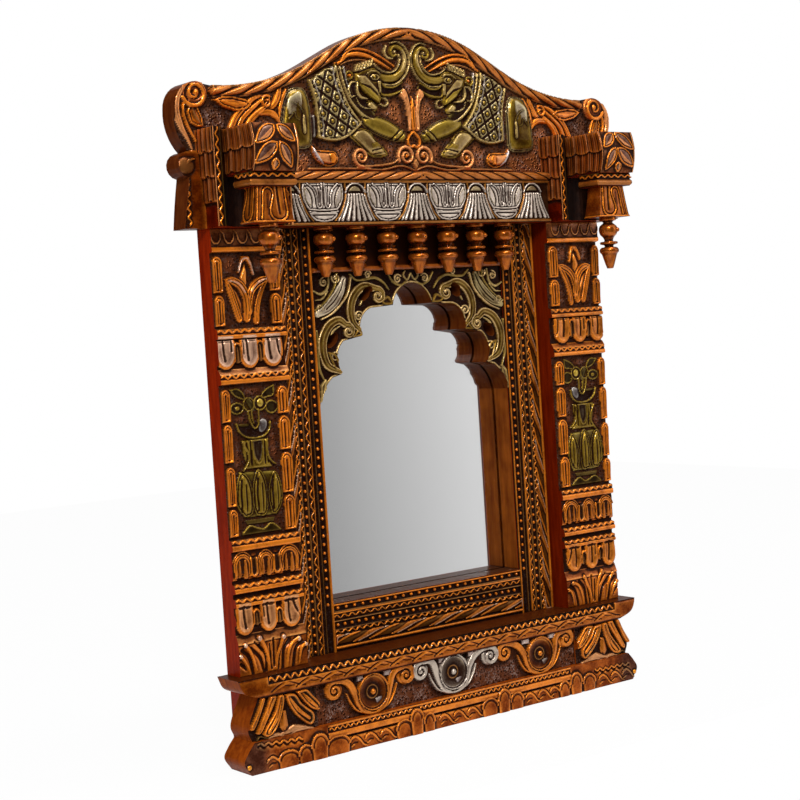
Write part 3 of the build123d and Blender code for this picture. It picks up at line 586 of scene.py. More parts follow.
class Net:
    """A node material, with short calls to add its nodes."""

    def __init__(self, name):
        self.material = bpy.data.materials.new(name)
        self.material.use_nodes = True
        self.tree = self.material.node_tree
        self.tree.nodes.clear()
        self.out = self.tree.nodes.new("ShaderNodeOutputMaterial")
        self.coords = self.tree.nodes.new("ShaderNodeTexCoord").outputs["Object"]

    def add(self, kind, inputs=None, **settings):
        node = self.tree.nodes.new("ShaderNode" + kind)
        for key, value in settings.items():
            setattr(node, key, value)
        for key, value in (inputs or {}).items():
            socket = node.inputs[key]
            if isinstance(value, bpy.types.NodeSocket):
                self.tree.links.new(value, socket)
            elif isinstance(value, tuple) and len(value) == 3 and socket.type == "RGBA":
                socket.default_value = (*value, 1)
            else:
                socket.default_value = value
        return node

    def attribute(self, name, output="Fac"):
        return self.add("Attribute", attribute_name=name).outputs[output]

    def math(self, operation, a, b=0.0, clamp=False):
        return self.add("Math", {0: a, 1: b}, operation=operation, use_clamp=clamp).outputs[0]

    def mix(self, factor, a, b, blend="MIX"):
        node = self.add("Mix", {0: factor, 6: a, 7: b}, data_type="RGBA", blend_type=blend,
                        clamp_factor=True)
        return node.outputs[2]

    def noise(self, scale, detail=3.0, rough=0.55, stretch=None):
        where = self.coords
        if stretch:
            where = self.add("Mapping", {"Vector": where, "Scale": stretch}).outputs[0]
        node = self.add("TexNoise", {"Vector": where, "Scale": scale, "Detail": detail, "Roughness": rough})
        return node.outputs["Fac"]

    def ramp(self, value, low, high, to_low=0.0, to_high=1.0):
        node = self.add("MapRange", {0: value, 1: low, 2: high, 3: to_low, 4: to_high}, clamp=True)
        return node.outputs[0]

    def bump(self, height, strength, distance, normal=None):
        inputs = {"Height": height, "Strength": strength, "Distance": distance}
        if normal is not None:
            inputs["Normal"] = normal
        return self.add("Bump", inputs).outputs[0]

    def principled(self, **inputs):
        shader = self.add("BsdfPrincipled", {k.replace("_", " "): v for k, v in inputs.items()})
        self.tree.links.new(shader.outputs[0], self.out.inputs["Surface"])
        return self.material


def carved_material():
    """Stained and painted carving: stain and painted shade in the hollows, paint rubbed bright on the
    crowns with a painted highlight, and painted glints on the dark ground.
    """
    n = Net("carved_wood")
    paint = n.attribute("paint", "Color")
    dark, rub, punch = n.attribute("dark"), n.attribute("rub"), n.attribute("punch")
    cloud = n.noise(95.0, 4.0)
    speck = n.noise(640.0, 3.0, 0.6)
    streak = n.noise(260.0, 3.0, 0.6, stretch=(1.0, 1.0, 0.12))
    plain = n.ramp(rub, -0.9, -0.6, 1.0, 0.0)
    patchy = n.math("ADD", n.math("MULTIPLY", cloud, 1.1), n.math("MULTIPLY", speck, 0.5))
    dull = n.mix(1.0, paint, (0.3, 0.2, 0.16), "MULTIPLY")
    body = n.mix(n.ramp(patchy, 0.66, 1.05), dull, n.mix(1.0, paint, (0.95, 0.9, 0.9), "MULTIPLY"))
    # Crown colour: paint rubbed bright, lifted further and paled as a painted highlight.
    crown = n.mix(0.09, n.mix(1.0, paint, (1.6, 1.6, 1.6), "MULTIPLY"), (1.0, 0.66, 0.1))
    gleam = n.math("MULTIPLY", n.ramp(rub, 0.06, 0.5), n.ramp(patchy, 0.45, 0.85, 0.25, 1.0), clamp=True)
    body = n.mix(gleam, body, crown)
    # Hollows go near-black, from stain and painted shade; the grey flecks in that black are painted glints.
    sunk = n.math("MULTIPLY", n.ramp(dark, 0.03, 0.46), n.ramp(speck, 0.15, 0.6, 0.8, 1.0), clamp=True)
    hollow_stain_and_shade = n.mix(n.ramp(speck, 0.54, 0.68, 0.0, 0.5), NIGHT, (0.045, 0.034, 0.034))
    body = n.mix(sunk, body, hollow_stain_and_shade)
    side = n.mix(n.ramp(streak, 0.3, 0.75), n.mix(1.0, paint, (0.5, 0.34, 0.34), "MULTIPLY"), paint)
    colour = n.mix(plain, body, side)
    dots = n.add("TexVoronoi", {"Vector": n.coords, "Scale": 430.0, "Randomness": 0.8})
    pits = n.ramp(dots.outputs["Distance"], 0.14, 0.6)
    # The punched ground's pale grey flecks are painted glints.
    pale = n.math("MULTIPLY", n.ramp(cloud, 0.44, 0.6), n.ramp(speck, 0.48, 0.6))
    ground = n.mix(n.ramp(pits, 0.25, 0.6), NIGHT, n.mix(pale, paint, (0.24, 0.15, 0.12)))
    colour = n.mix(n.math("MULTIPLY", punch, n.math("SUBTRACT", 1.0, n.math("MULTIPLY", sunk, 0.8))),
                   colour, ground)
    stipple = n.math("MULTIPLY", n.math("SUBTRACT", 1.0, pits), punch)
    normal = n.bump(stipple, 0.9, 0.0009)
    normal = n.bump(speck, 0.25, 0.0004, normal)
    shine = n.bump(speck, 0.1, 0.0003, n.bump(stipple, 0.7, 0.0007))
    bright = n.add("RGBToBW", {0: colour}).outputs[0]
    metal = n.math("MULTIPLY", n.math("SUBTRACT", 1.0, sunk), 0.6)
    metal = n.math("MULTIPLY", metal, n.math("SUBTRACT", 1.0, plain))
    coat = n.math("MULTIPLY", n.ramp(bright, 0.02, 0.24, 0.04, 0.9), n.ramp(plain, 0.0, 1.0, 1.0, 0.1))
    return n.principled(
        Base_Color=colour, Metallic=metal, Roughness=n.ramp(speck, 0.2, 0.8, 0.26, 0.42), Normal=normal,
        Specular_IOR_Level=0.02, Coat_Weight=coat, Coat_IOR=1.28, Coat_Roughness=0.04,
        Coat_Normal=shine,
    )


CARVED = carved_material()


# Shared carving

GLUE_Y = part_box("pilaster_right")[1].y / MM
TOP_Z = cad_bounds[1][2] / MM
BASE_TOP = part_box("pilaster_right")[0].z / MM


def forward(x, z, h):
    """Heights of most faces are depths in front of the glue plane."""
    return np.stack([x, GLUE_Y - h, z], 1)


def forward_flipped(x, z, h):
    return np.stack([-x, GLUE_Y - h, z], 1)


def bar(r, z0, z1, height, base, nose=0.35, paint=COPPER, x0=-FAR, x1=FAR):
    """A ledge across the face with rounded edges."""
    win = r.rows(z0, z1, x0, x1)
    s = (r.Z[win] - (z0 + z1) / 2) / ((z1 - z0) / 2)
    h = base + (height - base) * np.clip(1 - np.abs(s) ** (2 / nose), 0, 1) ** 0.5
    r.lay(win, h, np.abs(s) <= 1, paint)


def slope(r, z0, z1, low, high, paint=COPPER):
    """A sloped flat that goes from one height to another."""
    win = r.rows(z0, z1)
    s = np.clip((r.Z[win] - z0) / (z1 - z0), 0, 1)
    r.lay(win, low + (high - low) * s, np.ones_like(s, bool), paint)


def hanging(cx, half, top, bottom, round_share=0.5):
    """Outline of a petal that hangs from a ledge."""
    tall = top - bottom
    a = np.radians(np.linspace(0, 180, 15))
    round_z = min(round_share * tall, half * 1.3)
    bowl = [(cx + half * math.cos(t), bottom + round_z - round_z * math.sin(t)) for t in a]
    return [(cx - half * 0.9, top), *bowl[::-1], (cx + half * 0.9, top)]


def upright(cx, half, top, bottom, round_share=0.5):
    return [(x, top + bottom - z) for x, z in hanging(cx, half, top, bottom, round_share)]


def grooves(xs, z0, z1, depth, width=1.0):
    """Vertical grooves, for the inside of a petal."""

    def carve(X, Z):
        h = np.zeros_like(X)
        ends = np.clip((Z - z0) / 3, 0, 1) * np.clip((z1 - Z) / 3, 0, 1)
        for x in xs:
            h -= depth * np.exp(-(((X - x) / width) ** 2)) * ends
        return h

    return carve


def tablet(r, x0, x1, z0, z1, base, height):
    """A raised block with an arched top and two nested arches cut into it."""
    cx, half = (x0 + x1) / 2, (x1 - x0) / 2
    r.area(upright(cx, half, z1, z0, 0.4), height, base, bevel=0.7, line=0.9, line_in=2.1, rim=0.5,
           paint=COPPER)
    inner = upright(cx, half * 0.4, z1 - 3.4, z0 + 0.5, 0.3)
    r.stroke(inner[1:-1], 1.2, 0.8, base + height - 0.3, curve=False, wear_and_sheen=0.35)
    r.cut([(cx, z0 + 1), (cx, z1 - half - 1)], 1.6, 1.0, curve=False)


def wave_ledge(r, z0, split, z1, x0, x1, base, front):
    """A ledge with a plain lower edge and a raised wavy line on the dark strip above it."""
    bar(r, split, z1, front - 1.0, base, 0.35, UMBER)
    bar(r, z0, split + 0.6, front, base, 0.45, COPPER)
    r.wave(x0, x1, (split + z1) / 2 + 0.3, 1.15, 7.6, 1.7, 1.3, base=front - 1.1, paint=COPPER)


# Pilasters

# The left pilaster: its sides, its top and how far its ground stands before the glue plane
PILASTER_X = (-212.6, -147.2)
PILASTER_TOP = 439.0
PILASTER_GROUND = 16.8


def drop_petal(r, cx, half, top, bottom, base, slots, inside=PALE_HIGHLIGHT):
    """A broad drop that hangs from a ledge: an orange band round a dished middle painted pale, a painted
    highlight.
    """
    band = hanging(cx, half, top, bottom, 0.6)
    r.area(band, 4.0, base, bevel=1.2, line=0.8, line_in=1.4, paint=COPPER, wear_and_sheen=0.2)
    r.dish(hanging(cx, half - 2.4, top + 3, bottom + 2.6, 0.6), 1.0, 3.4, inside, curve=False)
    for points, width in slots:
        r.cut([(cx + x, z) for x, z in points], 0.75 * width, 1.3)


def small_loop(r, cx, half, top, bottom, base):
    """A narrow loop between two drops, with a blade in it."""
    r.area(upright(cx, half, top, bottom), 4.2, base, bevel=1.1, paint=COPPER, wear_and_sheen=0.25)
    r.dish(upright(cx, half - 1.6, top - 1.8, bottom - 2), 2.4, 1.2, UMBER, curve=False)
    r.stroke([(cx + 0.8, bottom), (cx + 0.4, top - 4.5)], [2.2, 2.4, 1.0], 1.3, base + 1.9, curve=False,
             wear_and_sheen=0.15)


def pilaster_drops(r, ground):
    """Hanging drops and the loops between them, in two rows, and the slopes under them."""
    for cx, half, slots in (
        (-205.6, 10.2, ((((-1.6, 348), (-1.4, 340), (-0.4, 333)), 2.6), (((5.8, 348), (5.6, 340)), 1.8))),
        (-183.0, 9.6, ((((-1.8, 349), (-1.6, 340), (-1.0, 332.6)), 2.6),
                       (((-5.6, 348), (-5.4, 338)), 1.6))),
        (-160.8, 10.4, ((((-3.0, 349), (-2.6, 340), (-1.6, 333)), 3.4),
                        (((5.0, 347), (6.2, 338), (8.4, 333)), 2.2))),
    ):
        drop_petal(r, cx, half, 349.5, 325.4, ground, slots)
    for cx, half, slots in (
        (-204.2, 8.8, ((((-0.6, 134), (-0.6, 126), (0.4, 117)), 2.8),)),
        (-181.6, 8.6, ((((-0.8, 134), (-0.8, 126), (-0.2, 117.4)), 2.6), (((-5, 133), (-4.6, 124)), 2.0))),
        (-159.4, 9.8, ((((-2.0, 134), (-2.4, 124), (-1.6, 116)), 2.2),
                       (((2.0, 133.6), (4.4, 127), (8.6, 119)), 3.0))),
    ):
        drop_petal(r, cx, half, 134.0, 110.4, ground, slots, PETAL_HEART_SHEEN)
    for cx, top, bottom in ((-194.4, 347.6, 331), (-172.8, 348.4, 331.6), (-193.2, 131.4, 118),
                            (-171.4, 129.6, 116.6)):
        small_loop(r, cx, 4.2, top, bottom, ground)
    # The slopes that face up are painted paler: painted highlights.
    slope(r, 321, 325.4, 21.6, 18.6, UPPER_SLOPE_HIGHLIGHT)
    slope(r, 103.4, 110.6, 20.8, 17.8, LOWER_SLOPE_HIGHLIGHT)


def pilaster_arches(r, ground):
    """Upright arches, with loops that hang between them."""
    bar(r, 155.4, 178.6, 19.0, ground, 0.1, ORANGE_BAND)
    for cx, half, top in ((-203.2, 8.8, 177.0), (-181.0, 7.6, 176.0), (-158.4, 9.6, 177.6)):
        crown = [(cx - half - 1.8, top - 9), (cx - half * 0.7, top - 1.6), (cx, top + 1.4),
                 (cx + half * 0.7, top - 1.6), (cx + half + 1.8, top - 9)]
        r.stroke(crown, 1.4, 3.0, 17.6, wear_and_sheen=0.2)
        r.area(upright(cx, half, top, 157.4), 3.2, 17.6, bevel=1.2, line=0.9, line_in=1.7, paint=COPPER,
               wear_and_sheen=0.2)
        r.dish(upright(cx, half - 2.6, top - 2.8, 155), 1.1, 1.4, AMBER, curve=False)
        r.stroke([(cx + 2.6, 158), (cx + 2.6, top - 6)], [4.4, 3.6, 2.0], 1.0, 19.6, 0.4, curve=False,
                 wear_and_sheen=0.1)
        r.stroke([(cx - 3.2, 159), (cx - 3.0, top - 6)], [3.0, 3.0, 1.6], 0.9, 19.6, 0.4, curve=False,
                 wear_and_sheen=0.05)
    for cx in (-192.6, -170.6):
        r.area(hanging(cx, 4.0, 173, 156.4), 3.6, 17.6, bevel=1.0, paint=COPPER, wear_and_sheen=0.25)
        r.dish(hanging(cx, 2.4, 174, 158.4), 2.0, 1.2, UMBER, curve=False)


def pilaster_foot(r, ground):
    """Leaves of the foot, which fan out from the middle."""
    bar(r, 77, 104, 20.3, ground, 0.12, ORANGE_BAND)
    for points, width in (
        ([(-200.5, 99), (-193, 91), (-189, 79)], 3.4), ([(-193, 101), (-187.5, 92), (-187, 79)], 2.0),
        ([(-209, 99), (-203, 92), (-200, 79)], 3.0), ([(-179, 104), (-179.6, 82)], 1.8),
        ([(-172.4, 101), (-175.6, 79)], 1.6), ([(-163.6, 101), (-169.6, 93), (-171.4, 79)], 3.2),
        ([(-152, 97.6), (-158, 92), (-161, 79)], 3.0), ([(-183, 100), (-182, 80)], 1.4),
        ([(-206.5, 84), (-211, 88)], 2.4), ([(-197, 104), (-190, 96)], 1.6),
    ):
        r.cut(points, width, 2.2)
    for points, wide in (
        ([(-206.6, 103.2), (-202, 97.4), (-199, 90), (-197, 81)], 3.4),
        ([(-192.6, 107), (-188.4, 100.4), (-185.4, 91), (-184.6, 79)], 3.8),
        ([(-169.6, 104.6), (-172.6, 97.6), (-176.4, 89), (-178, 79)], 3.8),
        ([(-155, 100.6), (-161.4, 97.4), (-165.6, 90), (-167.4, 79)], 3.6),
        ([(-148.6, 95), (-152.8, 91.4), (-155.6, 80)], 3.2),
        ([(-211.6, 95), (-207, 89.4), (-204, 82)], 3.4),
    ):
        r.stroke(points, [wide * 1.15, wide, wide * 0.9, wide * 0.8], [3.4, 3.0, 2.6, 2.2], 18.6, 0.5,
                 paint=COPPER, wear_and_sheen=0.15)
        # The pale blob at each leaf's top is a painted highlight.
        r.blob(points[0][0] + 0.3, points[0][1] - 0.6, wide * 0.55, height=1.2, base=21.0, paint=PALE_HIGHLIGHT)


def pilaster_tulip(r, ground, x0, x1):
    """A tulip on two pairs of leaves, between two columns of tablets."""
    for z0, z1 in ((360.5, 385.6), (387.4, 416.8)):
        tablet(r, x0, -203.4, z0, z1, ground, 3.6)
        tablet(r, -160, x1 - 1.6, z0, z1, ground, 3.6)
    r.area([(-189.4, 403), (-187, 410), (-184.6, 416.6), (-177.6, 416.4), (-175.2, 411), (-173.4, 400.6),
            (-175.4, 400.6), (-178, 409), (-181, 413), (-184.6, 410), (-187.6, 402.4)], 3.6, ground,
           bevel=1.0, paint=COPPER, wear_and_sheen=0.35)
    # Pale lines on the tulip are painted highlights.
    r.stroke([(-188.4, 404), (-185, 412.6), (-181, 414.6), (-177.4, 411), (-174.4, 401)], 1.1, 0.8,
             ground + 3.4, wear_and_sheen=0.4, paint=PALE_HIGHLIGHT)
    r.area([(-187.2, 398.6), (-184, 405.6), (-181.4, 410.6), (-180, 403), (-180.6, 394), (-182, 391.6),
            (-184.6, 394.6)], 2.4, ground, bevel=1.5, dome=0.5, paint=TULIP_HEART, wear_and_sheen=0.1)
    r.cut([(-179.4, 406), (-180.2, 396)], 1.4, 1.0)
    for shape in (
        [(-201, 397.6), (-194, 399), (-186.6, 395.4), (-181.6, 388.4), (-180, 378), (-180.6, 366),
         (-183, 363.6), (-185.2, 366), (-184.4, 376), (-185.4, 384), (-189.4, 391), (-195, 394.6)],
        [(-200.6, 396.6), (-196.8, 392), (-193.2, 382), (-189.6, 370), (-188.6, 365.4), (-190.4, 363.6),
         (-192.4, 366.4), (-195.4, 376), (-198.6, 387)],
        [(-159.8, 398.6), (-167, 398.6), (-174.4, 395), (-179.6, 388.6), (-181.4, 380), (-181, 370),
         (-178.8, 370.6), (-178, 379), (-175.4, 386.6), (-170.6, 391.6), (-165, 394.4)],
        [(-160, 397.6), (-164.4, 392), (-169.4, 381), (-172, 370), (-172.8, 362.4), (-175, 361.6),
         (-175.6, 364), (-174.4, 375), (-170.4, 386), (-165.6, 393.6)],
    ):
        r.area(inset(closed_curve(shape, 4), -1.1), 3.4, ground, bevel=1.1, dome=0.3, line=0.9, line_in=1.9,
               rim=0.5, paint=COPPER, wear_and_sheen=0.1)
    for blade in ([(-197, 394), (-190.6, 387.6), (-186.6, 378), (-187, 368), (-189, 372), (-192.4, 382),
                   (-196, 391)], [(-166, 395), (-173.6, 388.6), (-177.6, 378), (-177, 366), (-175.4, 374),
                                  (-171.6, 384), (-167, 391.6)]):
        r.area(blade, 2.4, ground, bevel=1.6, dome=0.4, paint=AMBER)
    # More pale lines, painted highlights.
    for line in ([(-198.6, 397), (-189.4, 394.4), (-183.6, 387)],
                 [(-162.6, 397.4), (-171, 394.4), (-177.4, 387.6)]):
        r.stroke(line, 1.0, 0.8, ground + 3.4, wear_and_sheen=0.5, paint=PALE_HIGHLIGHT)


def build_pilasters():
    (x0, x1), ground = PILASTER_X, PILASTER_GROUND
    r = Relief(x0, x1, BASE_TOP, PILASTER_TOP, step=0.62, ground=ground, paint=AMBER)
    for z0, z1 in ((359, 420), (190, 313)):
        win = r.rows(z0, z1)
        r.punch[win] = 1
        r.paint[win] = EARTH
    for z0, split, z1, front in (
        (349.8, 353.4, 358.6, 21.8), (313.4, 317.6, 321.4, 21.8), (178.6, 184.2, 188.4, 21.8),
        (144.6, 149, 152.6, 21.6), (133.6, 137, 140.8, 21.4),
    ):
        wave_ledge(r, z0, split, z1, x0 + 1, x1 - 1.5, ground, front)
    # cap with a running scroll
    bar(r, 419.5, 439.5, 20.4, ground, 0.15, CAP_STAIN)
    bar(r, 419.5, 424.5, 21.3, ground, 0.5, COPPER)
    for cx in (-208.5, -196.0, -183.5, -171.0, -158.5):
        bowl = [(cx - 7, 437.5), (cx - 4.6, 434), (cx - 3.6, 430), (cx - 1, 427), (cx + 2.4, 427.4),
                (cx + 4.4, 430.4), (cx + 4.6, 433.6)]
        r.area([(cx - 3, 430.4), (cx + 3.4, 430.4), (cx + 2, 427.6), (cx - 1, 427.4)], 0.6, 20.0, bevel=1.0,
               paint=UMBER)
        r.stroke(bowl, [1.0, 1.5, 1.6, 1.5, 1.2], 0.9, 20.2, wear_and_sheen=0.0, paint=CAP_SCROLL)
    pilaster_drops(r, ground)
    pilaster_arches(r, ground)
    pilaster_foot(r, ground)
    pilaster_tulip(r, ground, x0, x1)
    build_vase(r, ground, x0, x1)
    for name, place, flips in (("pilaster_left", forward, False),
                               ("pilaster_right", forward_flipped, True)):
        # The right pilaster is left without the left one's painted highlights: its pale paints become
        # orange.
        if flips:
            pale = (r.paint[..., 0] > 0.45) & (r.paint[..., 2] > 0.03)
            r.paint[pale] = RIGHT_UNHIGHLIGHTED
        pieces = carved(r, name + "_carving", place, 0.0, flips=flips,
                        edge_paint=pilaster_side)
        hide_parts(name)


def pilaster_side(verts):
    """Red stain, painted darker on the right pilaster as painted shade."""
    return np.where(verts[:, :1] > 0, RIGHT_SIDE_SHADED_RED, RED)


def build_vase(r, base, x0, x1):
    """The olive vase of flowers in the long panel, between two columns of tablets."""
    for z0, z1 in ((283.4, 310), (250.8, 281.8), (215.4, 247.6), (191, 213.4)):
        tablet(r, x0, -204.3, z0, z1, base, 3.6)
    for z0, z1 in ((286.8, 309.6), (257, 285), (221.6, 255), (191, 219.8)):
        tablet(r, -159.8, x1 - 1.4, z0, z1, base, 3.6)

    def lined(points, inside=GLOOM, height=1.4, width=1.3):
        line = smooth(np.vstack([points, points[:1]]), 5)
        r.area(line[:-1], height, base, bevel=1.0, paint=inside)
        r.stroke(line, width, height + 1.0, base, curve=False, wear_and_sheen=0.1, paint=OLIVE)

    lined([(-203, 309), (-196, 309.5), (-191.5, 306), (-190, 301), (-194, 302), (-198.5, 304)])
    lined([(-161.5, 310.5), (-168, 308), (-172.5, 304.5), (-173.5, 301), (-168, 301.5), (-162.5, 303)])
    for cx, cz, rx, rz, inside in ((-197.6, 294, 6.0, 4.4, GLOOM), (-164.8, 293, 5.4, 5.0, GLOOM),
                                   (-186.6, 296.6, 4.8, 5.4, OLIVE), (-175.8, 296.8, 5.8, 5.8, OLIVE)):
        turn = np.linspace(0, 2 * math.pi, 13)[:-1]
        lined(np.stack([cx + rx * np.cos(turn), cz + rz * np.sin(turn)], 1), inside, 1.5)
    r.blob(-197.4, 294, 2.6, 2.0, 2.2, base=base + 0.6, paint=OLIVE)
    r.blob(-175.6, 297, 3.4, 3.6, 1.8, base=base + 1.2, paint=BERRY)
    r.area([(-190, 300), (-186, 302.6), (-182.4, 298.6), (-178, 302), (-180, 294), (-183, 289),
            (-186, 293)], 2.0, base, bevel=1.2, paint=GLOOM)
    r.stroke([(-188, 291), (-186.4, 283), (-182.6, 276.8), (-178.6, 280.4), (-178, 292)], 1.7, 3.4, base,
             wear_and_sheen=0.3, paint=OLIVE)
    r.stroke([(-184.6, 292), (-183.6, 284), (-182.6, 280.4)], [1.4, 2.2, 1.2], 2.4, base, wear_and_sheen=0.1,
             paint=OLIVE)
    # mouth, near-black inside, with a painted glint on its right
    mouth = [(-199.5, 281.5), (-197, 275), (-191, 270.5), (-183, 269), (-174.5, 270), (-169, 274.5),
             (-167.4, 281)]
    r.area(mouth, 1.2, base, bevel=1.5, curve=False, hollow=0.8, paint=NIGHT)
    r.area([(-178, 282.4), (-178.4, 275), (-175, 272.4), (-170.4, 276), (-169.6, 281.4), (-173, 284)], 1.6,
           base, bevel=1.4, curve=True, paint=MOUTH_GLINT)
    r.stroke(mouth, 1.9, 3.2, base, wear_and_sheen=0.3, paint=OLIVE)
    # neck with drapes
    r.area([(-196, 268), (-195, 258), (-193, 250), (-196, 244), (-167, 244), (-171, 250), (-170, 258),
            (-169.5, 268)], 2.4, base, bevel=2.0, dome=0.7,
           carve=grooves((-191.4, -187.6, -174.4, -171.6), 246, 268, 1.3, 0.8), paint=OLIVE)
    r.area([(-188, 268), (-187, 254), (-184, 248.5), (-181, 246.8), (-178, 248.5), (-175.5, 254),
            (-174.5, 268)], 3.2, base, bevel=1.1, line=0.9, line_in=2.0, rim=0.5,
           carve=grooves((-183.4, -181.2, -178.6), 249, 266, 0.9), paint=OLIVE)
    r.dish([(-185, 266), (-184.4, 255), (-181, 250), (-178, 255), (-177.4, 266)], 0.8, 1.4, NECK_HOLLOW)
    r.stroke([(-195.5, 266), (-191, 258), (-190.6, 251), (-196, 243.5)], [1.4, 2.0, 1.4], 1.4, base + 2.4,
             wear_and_sheen=0.15, paint=OLIVE)
    r.stroke([(-172.5, 266), (-171.5, 254), (-168, 248.5), (-164.5, 246)], [1.4, 2.2, 1.4], 3.6, base,
             wear_and_sheen=0.15, paint=OLIVE)
    # lotus body
    r.area([(-200, 243), (-205.3, 222), (-202, 211), (-195, 204.5), (-166, 204.5), (-161, 211),
            (-159.5, 222), (-165, 241)], 1.6, base, bevel=2.2, dome=0.8, paint=LOTUS_GROUND)
    for shape, mid in (
        ([(-197, 205.6), (-203.6, 214), (-204.8, 223), (-202.5, 235), (-198.5, 242), (-193, 239),
          (-189.5, 231), (-188.4, 219), (-190, 208)], -197.0),
        ([(-171.5, 206), (-174, 218), (-173, 229), (-169, 238), (-165, 240), (-161.5, 233), (-160, 222),
          (-162, 212), (-167, 206)], -166.8),
        ([(-186, 206), (-189, 214), (-188.6, 229), (-185.5, 239), (-182, 243.5), (-178, 240), (-174.8, 230),
          (-174.6, 214), (-178, 205.5)], -181.6),
    ):
        r.plate(shape, 3.2, base, OLIVE, OLIVE, edge=1.5, bevel=2.0, dome=0.8, wear_and_sheen=0.2)
        r.cut([(mid - 2.6, 210), (mid - 3.2, 224), (mid - 1.6, 236)], 1.8, 1.8)
        r.cut([(mid + 1.4, 209), (mid + 1.6, 232)], 1.2, 1.1)
    # foot
    r.area([(-197.5, 203.5), (-195, 199), (-170, 199), (-167.5, 203.5)], 2.0, base, bevel=1.6, paint=NIGHT)
    r.area([(-201, 191), (-199, 195), (-193, 198.4), (-186, 196.5), (-180, 195), (-172, 198.6), (-165, 195),
            (-162, 191)], 2.0, base, bevel=1.0, paint=NIGHT)
    r.stroke([(-200, 193), (-193, 198.2), (-186, 196), (-179.5, 194.6), (-172, 198.4), (-164, 192.5)], 1.5,
             2.6, base, wear_and_sheen=0.3, paint=OLIVE)


# Crest

CREST_HALF = 236.5
CREST_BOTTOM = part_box("crest_board")[0].z / MM
CREST_GROUND = GLUE_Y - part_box("crest_rope")[1].y / MM
VOLUTE = 21.0


def arc(a, b, c, n=9):
    """Points round the circle through three points."""
    a, b, c = complex(*a), complex(*b), complex(*c)
    w = (c - a) / (b - a)
    centre = a + (b - a) * (w - abs(w) ** 2) / (2j * w.imag)
    start = a - centre
    middle, turn = (cmath.phase((q - centre) / start) % (2 * math.pi) for q in (b, c))
    if middle > turn:
        turn -= 2 * math.pi
    points = [centre + start * cmath.exp(1j * turn * k / (n - 1)) for k in range(n)]
    return [(q.real, q.imag) for q in points]


def ogee(inset=0.0):
    """Right half of the crest's top line, from the middle to the shoulder."""
    turn, crown, straight, hollow = math.radians(27.5), 169.0, 31.5, 203.0
    one = (crown * math.sin(turn), TOP_Z - crown * (1 - math.cos(turn)))
    two = (one[0] + straight * math.cos(turn), one[1] - straight * math.sin(turn))
    points = [(inset * math.sin(t), inset * math.cos(t), crown * math.sin(t),
               TOP_Z - crown * (1 - math.cos(t))) for t in np.linspace(0, turn, 12)]
    points += [(inset * math.sin(t), inset * math.cos(t), two[0] + hollow * (math.sin(turn) - math.sin(t)),
                two[1] - hollow * (math.cos(t) - math.cos(turn))) for t in np.linspace(turn, 0, 14)]
    return [(x - dx, z - dz) for dx, dz, x, z in points]


def crest_outline():
    top = ogee()
    eye = top[-1][1] + 2.6 - VOLUTE
    diagonal = VOLUTE * math.sqrt(0.5)
    x = CREST_HALF - VOLUTE
    right = [*top, *arc((x, eye + VOLUTE), (x + diagonal, eye + diagonal), (CREST_HALF, eye)),
             *arc((CREST_HALF, eye), (234.8, 517), (225, 500))[1:],
             *arc((225, 500), (236.5, 488), (228, 479.5))[1:],
             *arc((228, 479.5), (231.4, 459.2), (234, CREST_BOTTOM))[1:]]
    return right + [(-x, z) for x, z in right[::-1][:-1]]


def build_crest():
    g = CREST_GROUND
    r = Relief(-CREST_HALF - 0.3, CREST_HALF + 0.3, CREST_BOTTOM, TOP_Z, step=0.8, ground=g, paint=AMBER)
    r.punch[...] = 1
    r.paint[...] = CREST_STAIN
    r.paint[np.abs(r.X) > 156] = CREST_END_STAIN
    for side in (-1, 1):
        m = on_side(side)
        r.stroke(m(ogee(1.0)), 3.0, 4.2, g, 0.3, curve=False, paint=UMBER)
        r.stroke(m(ogee(9.2)), 2.6, 3.0, g, 0.4, curve=False, paint=UMBER)
        r.rope(m(ogee(4.8)), 9.4, 6.2, g, 22.0, 1.2 * side, CREST_ROPE, 0.85, curve=False)
    for side in (-1, 1):
        crest_end(r, g, side)
        elephant(r, g, side)
        crest_vine(r, g, side)
    # sprout in the middle; its pink petals carry a painted sheen
    for side in (-1, 1):
        m = on_side(side)
        petal = [(-3, 520.5), (-6.2, 521), (-6.6, 534), (-9, 545), (-13.5, 551.5), (-9, 557), (-5.4, 553),
                 (-3.4, 545), (-2.4, 534)]
        r.area(m(petal), 4.4, g, bevel=1.6, dome=0.8, rim=0.7, curve=True, paint=ROSE_SHEEN)
        r.cut(m([(-4.4, 523), (-4.8, 536), (-7.4, 549)]), 1.2, 0.9)
        r.stroke(m([(0, 520), (-5.4, 515), (-6.6, 510), (-3.6, 506.4), (0, 508)]), 2.6, 3.8, g, wear_and_sheen=0.2,
                 paint=COPPER)
    r.area([(-2.2, 521), (-2.4, 540), (0, 551), (2.4, 540), (2.2, 521)], 4.4, g, bevel=1.4, line=0.8,
           rim=0.6, paint=COPPER)
    r.area([(0, 497), (-3.6, 492), (0, 485), (3.6, 492)], 4.2, g, bevel=1.5, rim=0.6)
    pieces = carved(r, "crest_carving", forward, 0.0, outline=crest_outline(),
                    edge_paint=BROWN)
    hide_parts("crest_board", "crest_rope")


